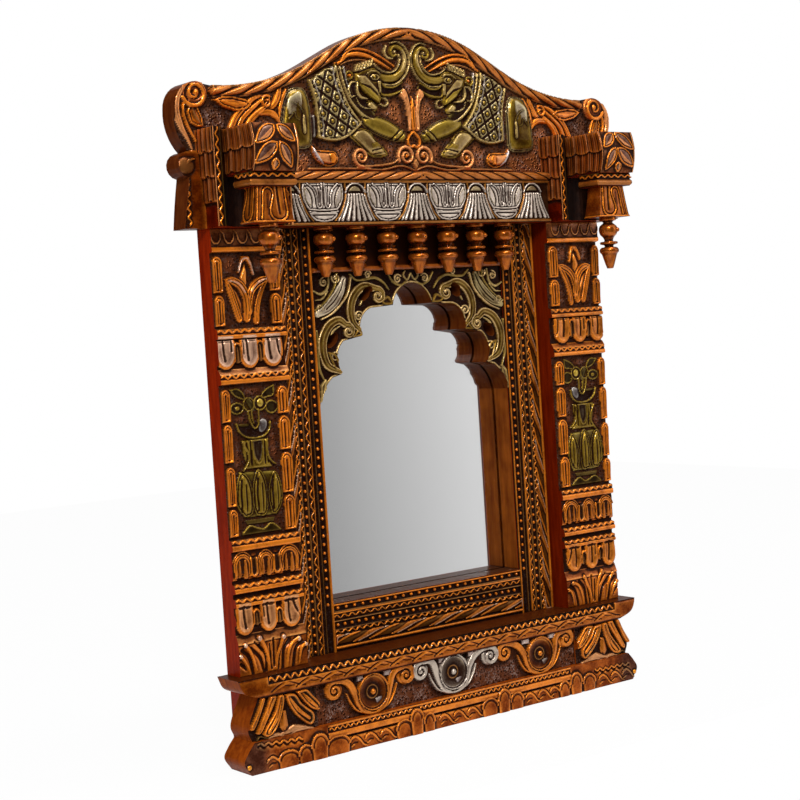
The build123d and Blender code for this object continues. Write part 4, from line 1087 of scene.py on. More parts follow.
def crest_end(r, g, side):
    """The scrolled end of the crest: volute and its stem, almond leaf and foliage."""
    m = on_side(side)
    # block of plain wood under the foliage, beside the bracket
    low = r.rows(CREST_BOTTOM, 500, *sorted((side * 214, side * 240)))
    r.punch[low] = 0
    r.H[low] = g + 3.0
    r.paint[low] = AMBER
    r.wave(*sorted((442, 477)), side * 229.5, 1.3, 7.5, 1.7, 1.5, base=g + 3.0, paint=COPPER, upright=True)
    r.stroke(m([(-236, 441), (-232.5, 458), (-229, 478)]), 3.4, 2.0, g + 2.8, 0.4, paint=ROSE_SHEEN, wear_and_sheen=0.2)
    r.blob(side * 230, 488.5, 8.5, 7.5, 3.2, base=g + 2.0, paint=UMBER)
    r.stroke(m([(-222, 494), (-227, 492.5), (-230.5, 489)]), [1.0, 2.6, 1.6], 1.6, g + 3.6, wear_and_sheen=0.5)
    # stem that grows from the volute down the outer edge
    r.stroke(m([(-229.5, 549), (-233.6, 541), (-234.6, 531), (-231, 519), (-225.5, 509), (-222.5, 502)]),
             [6.0, 7.0, 6.5, 4.0, 2.0], [5.0, 5.0, 4.6, 3.6], g, 0.5, paint=ROSE_SHEEN, rib=1.0)
    r.stroke(m([(-227, 541), (-229, 532), (-226.5, 522), (-219, 508)]), [3.0, 3.4, 2.0], 4.6, g, 0.5,
             paint=COPPER, wear_and_sheen=0.2)
    r.area(m([(-222, 540), (-225.5, 531), (-223, 522), (-216.5, 519), (-210.5, 519.5), (-211.5, 527),
              (-215.5, 536)]), 3.4, g, bevel=1.4, line=1.0, line_in=2.2, rim=0.7, paint=COPPER)
    r.stroke(m([(-221, 537), (-218.5, 528), (-212, 520)]), [1.0, 2.4, 1.0], 1.2, g + 3.0, paint=UMBER)
    coil = spiral(-218, 546, 11.5, 1.35, 200, 1, 0.2)
    r.blob(side * 218, 546, 12.5, 12.0, 4.4, base=g, power=0.2, paint=VOLUTE_STAIN)
    r.cut(m(spiral(-218, 546, 8.6, 1.2, 220, -1, 0.25)), 1.9, 2.2, curve=False)
    r.stroke(m(coil), [3.4, 3.0, 2.2], 1.2, g + 4.0, curve=False, paint=COPPER, wear_and_sheen=0.2)
    r.blob(side * 217, 546.5, 2.6, 2.6, 2.2, base=g + 4.0, paint=COPPER)
    # almond leaf under the rope
    r.area(m([(-201, 541.5), (-192, 535.5), (-180, 532.5), (-170, 534), (-164, 538.5), (-170, 543),
              (-183, 545), (-193, 544.5)]), 3.4, g, bevel=1.5, dome=0.8, line=1.1, line_in=2.4, rim=0.8,
           paint=COPPER)
    r.stroke(m([(-196, 541), (-184, 538.8), (-170, 539)]), [1.0, 2.6, 1.0], 1.0, g + 3.2, wear_and_sheen=0.4)
    r.stroke(m([(-203, 548), (-190, 547), (-172, 547.5), (-158, 549.5), (-140, 553)]), [2.5, 2.0, 2.4], 3.2,
             g, wear_and_sheen=0.2)
    # foliage
    for points, wide in (
        ([(-185, 519), (-180, 528), (-171, 537), (-161, 544), (-152, 546.5)], (7.5, 6.6, 5.0, 2.8)),
        ([(-178, 519), (-174, 527), (-166, 534), (-158, 540), (-151, 546)], (5.6, 5.4, 4.0, 2.4)),
        ([(-170, 519), (-166, 526), (-159, 532), (-152, 537), (-147, 544)], (8.4, 7.0, 5.2, 2.4)),
        ([(-158, 531), (-150, 533), (-143, 531), (-138, 525)], (2.6, 6.6, 6.6, 2.4)),
        ([(-136, 553), (-139, 545), (-144, 538), (-150, 535)], (4.0, 7.6, 6.4, 2.4)),
        ([(-130, 552), (-134, 545), (-137, 537), (-138.5, 528)], (2.0, 4.0, 4.0, 2.0)),
    ):
        r.stroke(m(points), wide, [3.4, 4.2, 3.6], g, 0.55, rib=0.9, paint=COPPER, wear_and_sheen=0.1)
    r.stroke(m(spiral(-150, 541, 5.5, 1.1, 60, 1, 0.3)), [3.2, 2.6], 4.4, g, curve=False, paint=COPPER,
             wear_and_sheen=0.2)


def elephant(r, g, side):
    """An elephant in a beaded cloth, walking to the middle with its trunk raised."""
    # Cream on the elephant's facets is a painted highlight.
    m = on_side(side)
    # leaf plume over the head
    r.stroke(m([(-79, 575.5), (-74, 577.5), (-69, 583.5), (-60, 588.3), (-46, 588), (-31, 583),
                (-17, 575.5)]), [1.2, 2.6, 2.8, 2.6, 2.2, 1.4], 4.4, g, 0.5, wear_and_sheen=0.25, paint=COPPER)
    r.stroke(m([(-77, 574.5), (-72, 578), (-66, 582.8), (-57, 584.4), (-46, 583.2), (-34, 578.8),
                (-21, 572.5)]), [1.2, 3.4, 4.6, 4.8, 4.2, 3, 1.2], 4.8, g, 0.45, wear_and_sheen=0.1, paint=COPPER)
    r.stroke(m([(-75, 573.5), (-66, 577.6), (-55, 579.6), (-44, 579), (-34, 575.5)]), [1, 1.6, 1.8, 1.6, 1],
             3.6, g, wear_and_sheen=0.25)
    # rump with its tail
    rump = [(-120, 503), (-137, 506), (-138.4, 520), (-136.6, 533), (-134.5, 542), (-130.5, 549.5),
            (-125.5, 553), (-119, 554.2), (-113.6, 553.6), (-109.8, 548.5), (-107.8, 540), (-107.2, 528),
            (-107.4, 514), (-108.6, 507), (-112, 504)]
    r.plate(m(rump), 3.8, g, RUMP_RIM, OLIVE, edge=1.3, bevel=3.2, dome=1.6)
    shine = [(-131, 531), (-131, 542), (-125, 547.5), (-117.5, 549.5), (-117, 538), (-120, 530)]
    r.area(m(shine), 1.0, g + 4.9, bevel=1.6, curve=True, paint=RUMP_SHINE)
    r.stroke(m([(-127, 541.5), (-120.5, 538.5), (-116.2, 531), (-115.6, 518)]), [0.9, 1.4, 1.2], 1.2,
             g + 5.6, wear_and_sheen=0.1, paint=NIGHT)
    r.area(m([(-117.6, 531), (-115.2, 531), (-114.8, 517), (-116.4, 514.5), (-118.2, 517)]), 1.2, g + 5.4,
           bevel=0.8, rim=0.5, paint=CREAM_AND_HIGHLIGHT)
    r.stroke(m([(-131, 527.5), (-128, 530.5), (-125.6, 533.5), (-124, 528.5), (-121, 527)]), 1.3, 1.1,
             g + 5.6, paint=NIGHT)
    elephant_cloth(r, g, side)
    elephant_legs(r, g, side)
    elephant_head(r, g, side)
    elephant_trunk(r, g, side)


def elephant_cloth(r, g, side):
    """The cloth: a lattice of diamonds, each with a boss, and corded edges."""
    m = on_side(side)
    cloth = [(-107, 560), (-104.5, 552), (-102, 542), (-101, 530), (-101, 513.5), (-90, 511.5), (-80, 512),
             (-70, 516), (-57, 525.5), (-63, 532), (-69.5, 541), (-74, 551), (-78, 563), (-79.5, 573),
             (-90, 571), (-99, 566)]
    r.area(m(cloth), 3.8, g, bevel=1.0, paint=CLOTH_GROUND)
    kept, paints = r.H.copy(), r.paint.copy()
    across, down = np.array((9.3, -5.8)), np.array((-3.2, -10.0))
    long, short = (across + down) * 0.4, (across - down) * 0.4
    for i in range(-3, 6):
        for j in range(-5, 4):
            q = np.array((-93.0, 542.5)) + i * across + j * down
            if not ring_distance(q[:1, None], q[1:, None], inset(cloth, -3))[0][0, 0]:
                continue
            r.area(m([q - long, q - short, q + long, q + short]), 1.6, g + 3.8, bevel=0.8,
                   paint=CLOTH_DIAMOND)
            r.cut(m(ring(q[0], q[1], 2.5, 12)), 1.2, 1.1, curve=False)
            r.blob(side * q[0], q[1], 1.9, 1.9, 1.8, base=g + 4.6, paint=OLIVE)
    out = ~ring_distance(r.X, r.Z, m(inset(cloth, 1.2)))[0]
    r.H[out], r.paint[out] = kept[out], paints[out]
    left, foot, right = cloth[:5], cloth[4:9], cloth[8:14]
    for line in (left, foot, right):
        r.stroke(m(line), 3.4, 4.6, g, 0.5, paint=OLIVE)
        r.rope(m(line), 2.2, 0.9, g + 4.2, 3.8, 0.4, CREAM_AND_HIGHLIGHT)
    for line in (np.array(left) + (4.2, -0.6), np.array(right) + (-4.0, -1.4)):
        r.stroke(m(line), 2.6, 5.4, g, 0.4, paint=SLATE, wear_and_sheen=0.1)
    r.stroke(m([(-104.2, 531), (-104.2, 514)]), 1.3, 3.2, g, curve=False, paint=SLATE, wear_and_sheen=0.2)


def elephant_legs(r, g, side):
    """The neck with its collar, the raised far leg and the near leg."""
    m = on_side(side)
    neck = [(-77, 572), (-74, 560), (-70, 549), (-64, 539), (-57, 532), (-50, 527.5), (-42, 528),
            (-40, 535), (-50, 540), (-60, 545), (-64, 556), (-68, 566), (-70, 573)]
    r.area(m(neck), 3.4, g, bevel=1.0, paint=NECK_SHADE)
    r.rope(m([(-75.5, 572), (-73.4, 562), (-70, 551.5), (-65, 543), (-58, 536), (-50, 530.8), (-43, 529)]),
           2.2, 2.2, g + 3.0, 3.4, 0.4, CREAM_AND_HIGHLIGHT)
    r.stroke(m([(-71, 573), (-70, 562), (-66.4, 551)]), 1.6, 5.0, g, wear_and_sheen=0.1, paint=SLATE)
    # far leg, raised forward, and near leg
    r.plate(m([(-55, 531), (-47, 532.5), (-38, 532.6), (-28, 530), (-18, 525), (-9.5, 519.5), (-8, 515),
               (-11, 510.6), (-20, 510.6), (-29, 512.5), (-40, 516), (-49, 520), (-55, 525)]), 4.0, g,
            NIGHT, LEG_SHADE, edge=1.1, bevel=2.4, dome=1.0)
    for a, b in (((-14.5, 522), (-26.5, 512)), ((-10.5, 519), (-20.5, 511))):
        r.cut(m([a, b]), 1.7, 1.6, curve=False)
    r.stroke(m([(-12.6, 520.8), (-23.4, 511.8)]), 1.2, 5.6, g, curve=False, wear_and_sheen=0.3, paint=CREAM_AND_HIGHLIGHT)
    r.plate(m([(-69, 514.5), (-62.5, 520.5), (-53, 521.5), (-47, 518.5), (-41, 512), (-34, 505.5),
               (-29.5, 500), (-33, 497.6), (-44, 497), (-51, 500), (-60, 507.5)]), 4.0, g, OLIVE, CREAM_AND_HIGHLIGHT,
            edge=1.2, bevel=2.0, dome=0.8)
    for a, b in (((-47, 502.5), (-35, 505)), ((-45, 499.6), (-32.5, 501.8))):
        r.cut(m([a, b]), 1.4, 1.4, curve=False)
    r.area(m([(-49, 509), (-41, 510), (-37, 506.5), (-47, 504)]), 1.0, g + 4.6, bevel=1.0, paint=OLIVE)


def elephant_head(r, g, side):
    """Skull, cheek and brow, the crown's feathers, the eye and the ear."""
    m = on_side(side)
    head = [(-60, 561), (-60, 568), (-54, 571.5), (-46, 574), (-38, 573.5), (-33, 570.5), (-31, 563),
            (-33, 556), (-33, 546), (-36, 542.5), (-42, 545), (-50, 550.5), (-56, 555)]
    r.area(m(head), 4.6, g, bevel=1.8, dome=0.6, line=0.8, line_in=1.6, paint=OLIVE)
    r.area(m([(-58, 565.5), (-50, 566), (-46.5, 563), (-38, 554.5), (-36.6, 550), (-46, 557),
              (-55, 559.5)]), 1.3, g + 4.8, bevel=1.6, paint=CREAM_AND_HIGHLIGHT)
    r.area(m([(-54.5, 558.5), (-45.5, 555.5), (-37, 548.5), (-35.6, 543.4), (-41, 545.8), (-49.5, 551.4)]),
           1.5, g + 4.6, bevel=1.4, paint=CHEEK)
    r.area(m([(-37.5, 562), (-34, 562), (-34.4, 552), (-36.4, 552)]), 1.2, g + 4.8, bevel=1.0, paint=CREAM_AND_HIGHLIGHT)
    r.cut(m([(-56, 556.5), (-50, 550.5), (-43, 545.8), (-36, 542.6)]), 1.6, 1.6)
    for n in range(6):
        x, z = -59 + 3.3 * n, 572.0 + 1.0 * n
        r.stroke(m([(x - 0.8, z - 2.0), (x + 0.8, z + 2.6)]), 2.3, [2.0, 3.0], g + 3.6, 0.5, curve=False,
                 wear_and_sheen=0.25, paint=CREAM_AND_HIGHLIGHT)
    r.stroke(m([(-60, 569.5), (-52, 571.4), (-43, 575)]), 1.5, 5.8, g, wear_and_sheen=0.3, paint=CREAM_AND_HIGHLIGHT)
    eye = ring(0, 0, 1.0, 18) * (5.0, 3.1) + (-40, 565.0)
    r.cut(m(eye), 1.3, 1.3, curve=False)
    r.stroke(m(ring(0, 0, 1.0, 18) * (3.7, 2.1) + (-40, 565.0)), 1.1, 0.9, g + 5.0, curve=False, wear_and_sheen=0.3,
             paint=CREAM_AND_HIGHLIGHT)
    r.blob(side * -40.6, 565.2, 1.7, 1.5, 1.8, base=g + 5.0, paint=OLIVE)
    r.stroke(m([(-49, 567), (-44, 570), (-38, 570.2), (-34, 567.5)]), 1.5, 6.4, g, wear_and_sheen=0.3, paint=CREAM_AND_HIGHLIGHT)
    # ear in three rings, and the curl behind the crown
    r.area(m([(-60, 562), (-66, 561), (-69.5, 554), (-67, 546), (-60, 539), (-51, 536.5), (-46, 540),
              (-50, 548), (-57, 553)]), 3.0, g, bevel=1.0, paint=NIGHT)
    r.stroke(m([(-60.5, 560.6), (-65, 559.4), (-67.8, 553.8), (-66, 548), (-61.5, 548.6)]),
             [1.6, 3.0, 3.2, 2.4, 1.2], 5.4, g, 0.45, wear_and_sheen=0.3, paint=CREAM_AND_HIGHLIGHT)
    r.stroke(m([(-58.6, 559.5), (-59.2, 552.5), (-55.5, 547.8), (-48.5, 546.4)]), [2.4, 4.0, 3.6, 1.8], 6.0,
             g, 0.5, wear_and_sheen=0.3, paint=CREAM_AND_HIGHLIGHT)
    r.stroke(m([(-60, 547), (-57.5, 541.8), (-52, 538.8), (-46, 538.6), (-43, 541)]), [1.2, 2.0, 2.0, 1.2],
             5.0, g, wear_and_sheen=0.2, paint=CREAM_AND_HIGHLIGHT)
    r.stroke(m(spiral(-65.4, 565.6, 4.4, 1.0, 250, -1, 0.6)), 1.9, 4.8, g, curve=False, wear_and_sheen=0.2,
             paint=OLIVE)
    r.blob(side * -65, 565.8, 2.0, 1.8, 4.8, base=g, paint=COPPER)


def elephant_trunk(r, g, side):
    """The trunk, raised and curled, with a rim on each side, and the jaws, chin and tusk."""
    m = on_side(side)
    trunk = [(-36, 565.5), (-27, 564.6), (-18, 565.8), (-11, 570.5), (-6.5, 578), (-6.2, 586),
             (-10.6, 591.6), (-16.6, 592.4), (-20.4, 588.6), (-18.6, 584.4), (-14.2, 585.4)]
    r.stroke(m(trunk), [9.5, 8.5, 8.0, 7.4, 6.6, 5.6, 4.6, 3.8, 3.2, 2.6], [5.4, 5.8, 5.8, 5.4, 5.0], g,
             0.45, paint=OLIVE)
    r.stroke(m([(-11.4, 571), (-7.4, 577.5), (-6.6, 584.5), (-9.4, 589.4)]), [1.6, 3.6, 3.6, 1.6], 1.0,
             g + 5.0, wear_and_sheen=0.3, paint=CREAM_AND_HIGHLIGHT)
    r.stroke(m([(-40, 576.5), (-33, 571.6), (-23, 569.8), (-15.5, 573), (-11.6, 580), (-11.6, 586)]),
             [1.2, 1.8, 1.8, 1.2], 5.6, g, wear_and_sheen=0.3, paint=CREAM_AND_HIGHLIGHT)
    r.stroke(m([(-31, 559.6), (-19, 559.6), (-8.5, 565.5), (-2.2, 574.5), (-0.9, 584), (-4.8, 592.4),
                (-12, 596.6), (-18.5, 595.6)]), [1.6, 2.0, 2.0, 1.6], 5.2, g, wear_and_sheen=0.3, paint=CREAM_AND_HIGHLIGHT)
    r.blob(side * -15.6, 588.2, 1.9, 1.9, 4.6, base=g, paint=CREAM_AND_HIGHLIGHT)
    r.stroke(m([(-24.5, 593), (-26.8, 587.5), (-24.4, 583.2), (-18.5, 582)]), [1.6, 3.4, 3.0, 1.6], 4.6, g,
             0.5, wear_and_sheen=0.25, paint=CREAM_AND_HIGHLIGHT)
    # jaws, chin and tusk
    r.area(m([(-35, 560), (-10, 562), (-7, 557), (-14, 551), (-30, 547.5), (-36, 552)]), 2.0, g, bevel=1.0,
           paint=NIGHT)
    r.stroke(m([(-33.5, 561), (-29, 557.6), (-20, 557.4), (-9.5, 562)]), [2.6, 2.8, 2.4, 1.2], 5.2, g, 0.5,
             wear_and_sheen=0.2, paint=OLIVE)
    r.stroke(m([(-33.6, 557), (-33.4, 551.4), (-27.5, 550.4), (-19, 551.6), (-10, 555.6)]),
             [1.8, 2.8, 3.2, 2.6, 1.2], 5.0, g, 0.5, wear_and_sheen=0.2, paint=OLIVE)
    r.stroke(m([(-33, 548), (-28.4, 547), (-26.8, 543.4), (-30, 541), (-34.4, 542.4)]), [1.6, 2.4, 1.8],
             4.8, g, wear_and_sheen=0.2, paint=CREAM_AND_HIGHLIGHT)
    tusk = [(-48.5, 544.5), (-43.5, 545.6), (-38.6, 541.6), (-36.8, 538.6), (-40, 536.2), (-46, 536.8),
            (-50, 540.5)]
    r.plate(m(tusk), 4.0, g, OLIVE, CREAM_AND_HIGHLIGHT, edge=1.0, bevel=1.4, dome=0.6)


def crest_vine(r, g, side):
    """Scrolls along the foot of the panel, and a cup on each side."""
    m = on_side(side)
    r.stroke(m([(0, 486), (-15, 490), (-35, 486.8), (-56, 487.4), (-75, 487.5), (-112, 486.8)]), 2.2, 3.0,
             g, wear_and_sheen=0.3)
    r.stroke(m([(-17, 496.5), (-24, 492.4), (-36, 490.4), (-48, 489.6), (-62, 489)]), [2, 2.6, 2.6, 2.0],
             3.6, g, wear_and_sheen=0.2)
    for cx, cz, radius, start, hand in ((-58, 497.4, 8.4, -80, -1), (-9.4, 498.6, 9.4, -150, -1)):
        r.stroke(m(spiral(cx, cz, radius, 1.55, start, hand, 0.2)), [3.6, 3.6, 3.0, 2.2], 4.4, g,
                 curve=False, wear_and_sheen=0.15, paint=ROSE_SHEEN)
        r.blob(side * cx, cz, 1.9, 1.9, 4.6, base=g, paint=COPPER)
    cup = [(-108.4, 507), (-108, 500), (-104.5, 494), (-98, 490), (-90, 489), (-84, 491.5), (-82, 496.5),
           (-85.5, 501.6), (-94, 502.4), (-103.5, 502.8)]
    # The cup's pink middle is a painted sheen.
    r.plate(m(cup), 3.6, g, COPPER, ROSE_SHEEN, edge=1.4, bevel=2.0, dome=0.8)
    r.area(m([(-108.4, 506.6), (-107.4, 499.5), (-103, 493.5), (-96, 490), (-100.5, 495), (-104.4, 501.6)]),
           5.4, g, bevel=1.4, paint=CUP_SHINE)
    r.area(m([(-91.5, 500.5), (-91, 491), (-87, 491.5), (-85, 496), (-87, 500)]), 1.0, g + 4.8, bevel=0.9,
           paint=COPPER)
    r.cut(m([(-105, 502.5), (-97, 500.6), (-86.5, 500.4)]), 1.3, 1.2)


# Canopy frieze and the rope above it


def frieze_tulip(r, cx, ground):
    """A fluted cup with two nested loops, on a half disc, between two brown bands."""
    half_cup = [(0, 451.0), (14.2, 451.6), (17.2, 455), (20, 460.5), (21, 467), (20, 474)]
    cup = flip(half_cup)[::-1].tolist() + half_cup[1:]
    r.area([(cx + x, z) for x, z in cup], 2.0, ground, bevel=1.0, line=1.2, line_in=2.0, wear_and_sheen=0.15,
           paint=SILVER)
    for side in (-1, 1):

        def at(points):
            return [(cx + side * 0.9 * x, z) for x, z in points]

        leaf = at([(20.4, 471), (21.4, 464.5), (18.6, 458.5), (14.6, 455.4), (13.4, 459), (14.6, 465)])
        r.area(leaf, 0.5, ground + 1.6, bevel=0.8, hollow=1.2, curve=True, paint=CUP_LEAF)
        r.cut(at([(19.8, 472.5), (14.8, 466.5), (12.6, 460), (13.0, 454)]), 1.3, 1.2)
        loop = [(17.0, 473.8), (10.6, 469), (8.0, 463), (7.6, 457.2), (5.6, 453.8), (2.8, 454.6),
                (1.9, 458), (2.0, 466), (1.2, 474)]
        r.cut(at(loop), 2.7, 1.2)
        r.stroke(at(loop), 1.3, 1.5, ground + 1.2, wear_and_sheen=0.35, paint=SILVER)
        r.cut(at([(6.4, 473.5), (4.9, 466), (4.8, 458.5)]), 1.1, 0.9)
        band = [(22.6, 475), (23.2, 467), (22, 460), (19.2, 453.6), (16.4, 448.4), (11, 443)]
        r.stroke([(cx + side * x, z) for x, z in band], [1.4, 1.9, 1.9, 1.6], 2.4, ground, 0.5,
                 paint=CUP_BAND)
    bowl = [(-14.4, 449.8), (-13, 446.2), (-8, 442.8), (0, 441.6), (8, 442.8), (13, 446.2), (14.4, 449.8)]
    r.area([(cx + x, z) for x, z in bowl], 1.9, ground, bevel=1.0, line=0.9, line_in=2.0, wear_and_sheen=0.15,
           paint=SILVER)
    r.stroke([(cx - 14.4, 450.6), (cx, 449.4), (cx + 14.4, 450.6)], 1.4, 2.4, ground, 0.5, wear_and_sheen=0.2,
             paint=SILVER)


def frieze_fan(r, cx, ground):
    """Feathers that spread from a half-round cap."""
    cap = [(-10.4, 466.2), (-8, 470.4), (-4.2, 473.2), (0, 474), (4.2, 473.2), (8, 470.4), (10.4, 466.2)]
    r.stroke([(cx + x, z) for x, z in cap], 1.5, 2.9, ground, 0.5, wear_and_sheen=0.3, paint=SILVER)
    r.area([(cx + 0.62 * x, 467.4 + 0.62 * (z - 466.4)) for x, z in cap], 2.1, ground, bevel=1.2,
           paint=FAN_CAP)
    for n in range(6):
        t = (n - 2.5) / 2.5
        line = [(cx + 6.8 * t, 464.8), (cx + 8.8 * t, 456), (cx + 14.6 * t, 443.6)]
        r.stroke(line, [2.0, 2.5, 3.3], 2.7, ground, 0.45, wear_and_sheen=0.15, paint=SILVER)
    for side in (-1, 1):
        edge = [(9.2, 464.4), (11.6, 457), (15, 449), (18.6, 442.8)]
        r.stroke([(cx + side * x, z) for x, z in edge], [1.1, 1.4, 1.4], 2.6, ground, 0.5, wear_and_sheen=0.3,
                 paint=SILVER)


def build_canopy_frieze():
    low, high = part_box("canopy_frieze")
    x1 = high.x / MM
    z0, z1 = low.z / MM, high.z / MM
    ground = GLUE_Y - low.y / MM - 3.0
    r = Relief(-x1, x1, z0, z1, step=0.6, ground=ground, paint=FRIEZE_GROUND)
    bar(r, z0, z0 + 2.6, ground + 2.8, ground, 0.3, BROWN)
    bar(r, z1 - 2.8, z1, ground + 2.2, ground, 0.3, BROWN)
    for cx in (-105.5, -39.0, 28.0, 94.0):
        frieze_tulip(r, cx, ground)
    for cx in (-139.5, -72.5, -5.8, 60.5, 127.0):
        frieze_fan(r, cx, ground)
    pieces = carved(r, "canopy_frieze_carving", forward, CREST_GROUND)
    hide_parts("canopy_frieze")

    low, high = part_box("canopy_rope")
    z0, z1 = low.z / MM, high.z / MM
    front = GLUE_Y - low.y / MM
    nose = (z1 - z0) / 2
    r = Relief(-x1, x1, z0, z1, step=0.55, ground=front - nose - 0.4, paint=COPPER)
    for side in (-1, 1):
        line = [(0, (z0 + z1) / 2), (side * x1, (z0 + z1) / 2)]
        r.rope(line, 2 * nose + 0.1, nose + 0.4, front - nose - 0.4, 17.5, 1.1 * side, CANOPY_ROPE, 0.85,
               curve=False)
    pieces = carved(r, "canopy_rope_carving", forward, CREST_GROUND)
    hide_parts("canopy_rope")


# Base

# Half widths of the ledge and the plinth, and the ends of the carving between the plinth's corners
LEDGE_HALF = 222.5
PLINTH_HALF = 221.3
PLINTH_RUN = (-139, 134)


def build_base():
    front = GLUE_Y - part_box("base_ledge")[0].y / MM
    low, high = (corner.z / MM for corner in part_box("base_ledge"))
    plinth_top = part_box("base_plinth")[1].z / MM
    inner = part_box("base_corner_right")[0].x / MM

    # ledge: a dark strip with a wave over a band with a vine, and plain ends
    end = smooth([(202, low), (216.8, low + 6), (LEDGE_HALF, high)])
    outline = np.vstack([end, flip(end)[::-1]])
    r = Relief(-LEDGE_HALF, LEDGE_HALF, low, high, step=0.62, ground=front - 1.0, paint=AMBER)
    bar(r, low, high, front - 0.2, front - 3, 0.3, COPPER)
    strip = r.rows(high - 7.2, high - 1.1, -194, 194)
    r.H[strip] = front - 1.9
    r.paint[strip] = LEDGE_STRIP
    r.wave(-193, 193, high - 4.0, 1.7, 7.6, 1.9, 1.6, base=front - 2.0, paint=COPPER)
    for k in range(-8, 8):
        x = 24.0 * k
        r.cut([(x, low + 3.4), (x + 8, low + 7.6), (x + 16, low + 9.2), (x + 27, low + 5.0),
               (x + 33, low + 3.6)], 1.3, 0.6)
        r.cut([(x + 12, low + 7.2), (x + 17, low + 5.4), (x + 22, low + 5.2)], 1.1, 0.4)
        r.stroke([(x + 2, low + 3.2), (x + 10, low + 6.4), (x + 17, low + 7.6)], [1.2, 1.8, 1.0], 0.6,
                 front - 0.5)
    r.paint *= BASE_SHADE

    # The ledge's top face is painted dark, a painted reflection; its front is amber.
    def ledge_paint(verts):
        return np.where(verts[:, 2:] > high - 0.4, LEDGE_TOP_DARK_REFLECTION, AMBER)

    pieces = carved(r, "base_ledge_carving", forward, 0.0, outline=outline,
                    edge_paint=ledge_paint)
    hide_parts("base_ledge")

    build_base_frieze(front, low, plinth_top, inner)
    build_base_corner(front, low, plinth_top, inner)
    build_plinth(front, plinth_top)


def scroll_arm(r, g, x, z, reach, tone):
    """A rail that leaves the foot of a rosette, climbs beside it and ends in a volute."""
    side = 1 if reach > 0 else -1
    eye = (x + reach, 52.6)
    lead = [(x + side * 4, z - 17.2), (x + side * 10, z - 14.6), (x + side * 15, z - 8),
            (x + side * 18.4, z + 1.6), (x + side * (abs(reach) * 0.5 + 3.4), z + 10),
            (x + side * (abs(reach) - 9), z + 14.6)]
    coil = spiral(eye[0], eye[1], 8.4, 1.15, 96 if side > 0 else 84, -side, 0.3, lead)
    share = np.linspace(0, 1, 9)
    wide = np.interp(share, (0, 0.2, 0.45, 0.6, 0.8, 1.0), (3.6, 6.0, 7.4, 6.0, 4.4, 2.6))
    r.blob(eye[0], eye[1], 9.0, 8.6, 4.4, base=g, power=0.3, paint=tone)
    r.cut(spiral(eye[0], eye[1], 6.0, 0.9, 96 if side > 0 else 84, -side, 0.35), 1.9, 2.4, curve=False)
    r.stroke(coil, wide, [4.2, 4.8, 4.8, 4.6], g, 0.35, curve=False, paint=tone, lip=0.8)
    r.blob(eye[0], eye[1] - 0.4, 2.5, 2.5, 5.2, base=g, paint=tone)
    under = [(x + side * 9.6, z - 17), (x + side * 17.4, z - 12.6), (x + side * 23, z - 5),
             (x + side * 26.4, z + 2.6)]
    r.stroke(under, [1.2, 2.6, 2.4, 1.2], 4.0, g, wear_and_sheen=0.1, paint=tone)


def build_base_frieze(front, top, bottom, half):
    g = front - 7.0
    r = Relief(-half, half, bottom, top, step=0.6, ground=g, paint=EARTH)
    r.punch[...] = 1
    for x, wide in ((-101.4, 2.8), (-73, 4), (-40, 2.6), (-13, 4), (21, 4.4), (56, 4), (84, 4.6), (118, 6)):
        r.area([(x - wide, top), (x - wide, top - 5), (x + wide, top - 5.6), (x + wide, top)], 3.6, g,
               bevel=1.0, paint=FRIEZE_TOOTH)
        r.dish([(x - wide - 3.4, top - 1), (x - wide - 0.4, top - 1), (x - wide - 0.6, top - 9),
                (x - wide - 3, top - 9)], 1.6, 1.0, NIGHT, curve=False)
    for x, middle, arms, tone in ((-90, 45, (-39, 36), COPPER), (-2, 46, (-35.5, 43), SILVER),
                                  (100, 44.6, (-42, 33), COPPER)):
        for reach in arms:
            scroll_arm(r, g, x, middle, reach, tone)
        r.stroke([(x - 15, middle - 12), (x - 9, middle - 16.4), (x, middle - 18), (x + 9, middle - 16.4),
                  (x + 15, middle - 12)], [2.0, 3.6, 3.8, 3.6, 2.0], 4.6, g, 0.5, wear_and_sheen=0.1, paint=tone)
        r.blob(x, middle, 16.4, 15.8, 5.4, base=g, power=0.12, paint=tone)
        win = r.rows(middle - 16, middle + 16, x - 16, x + 16)
        D = np.hypot(r.X[win] - x, (r.Z[win] - middle) * 1.03)
        r.H[win] -= 3.4 * np.clip(1 - (D / 14.0) ** 2, 0, 1) ** 0.8
        dish = D < 13.4
        r.paint[win][dish] = SILVER_DISH if tone == SILVER else COPPER_DISH
        r.stroke(ring(x, middle, 15.2, 40), 1.2, 0.9, g + 5.0, curve=False, wear_and_sheen=0.2, paint=tone)
        r.cut(ring(x, middle, 14.0, 40), 0.9, 0.7, curve=False)
        r.stroke(ring(x, middle, 5.6), 1.8, 1.2, g + 2.0, curve=False, paint=UMBER)
        r.blob(x + 1, middle - 0.4, 2.8, 2.8, 3.2, base=g + 1.8, paint=tone)
        r.area([(x + 2.6, middle - 6.4), (x + 9.6, middle - 5.4), (x + 9, middle - 9.6),
                (x + 4, middle - 12)], 0.4, g + 3.2, bevel=1.8, curve=True, paint=DISH_SHINE)
    r.paint *= BASE_SHADE
    pieces = carved(r, "base_frieze_carving", forward, 0.0)
    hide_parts("base_frieze")


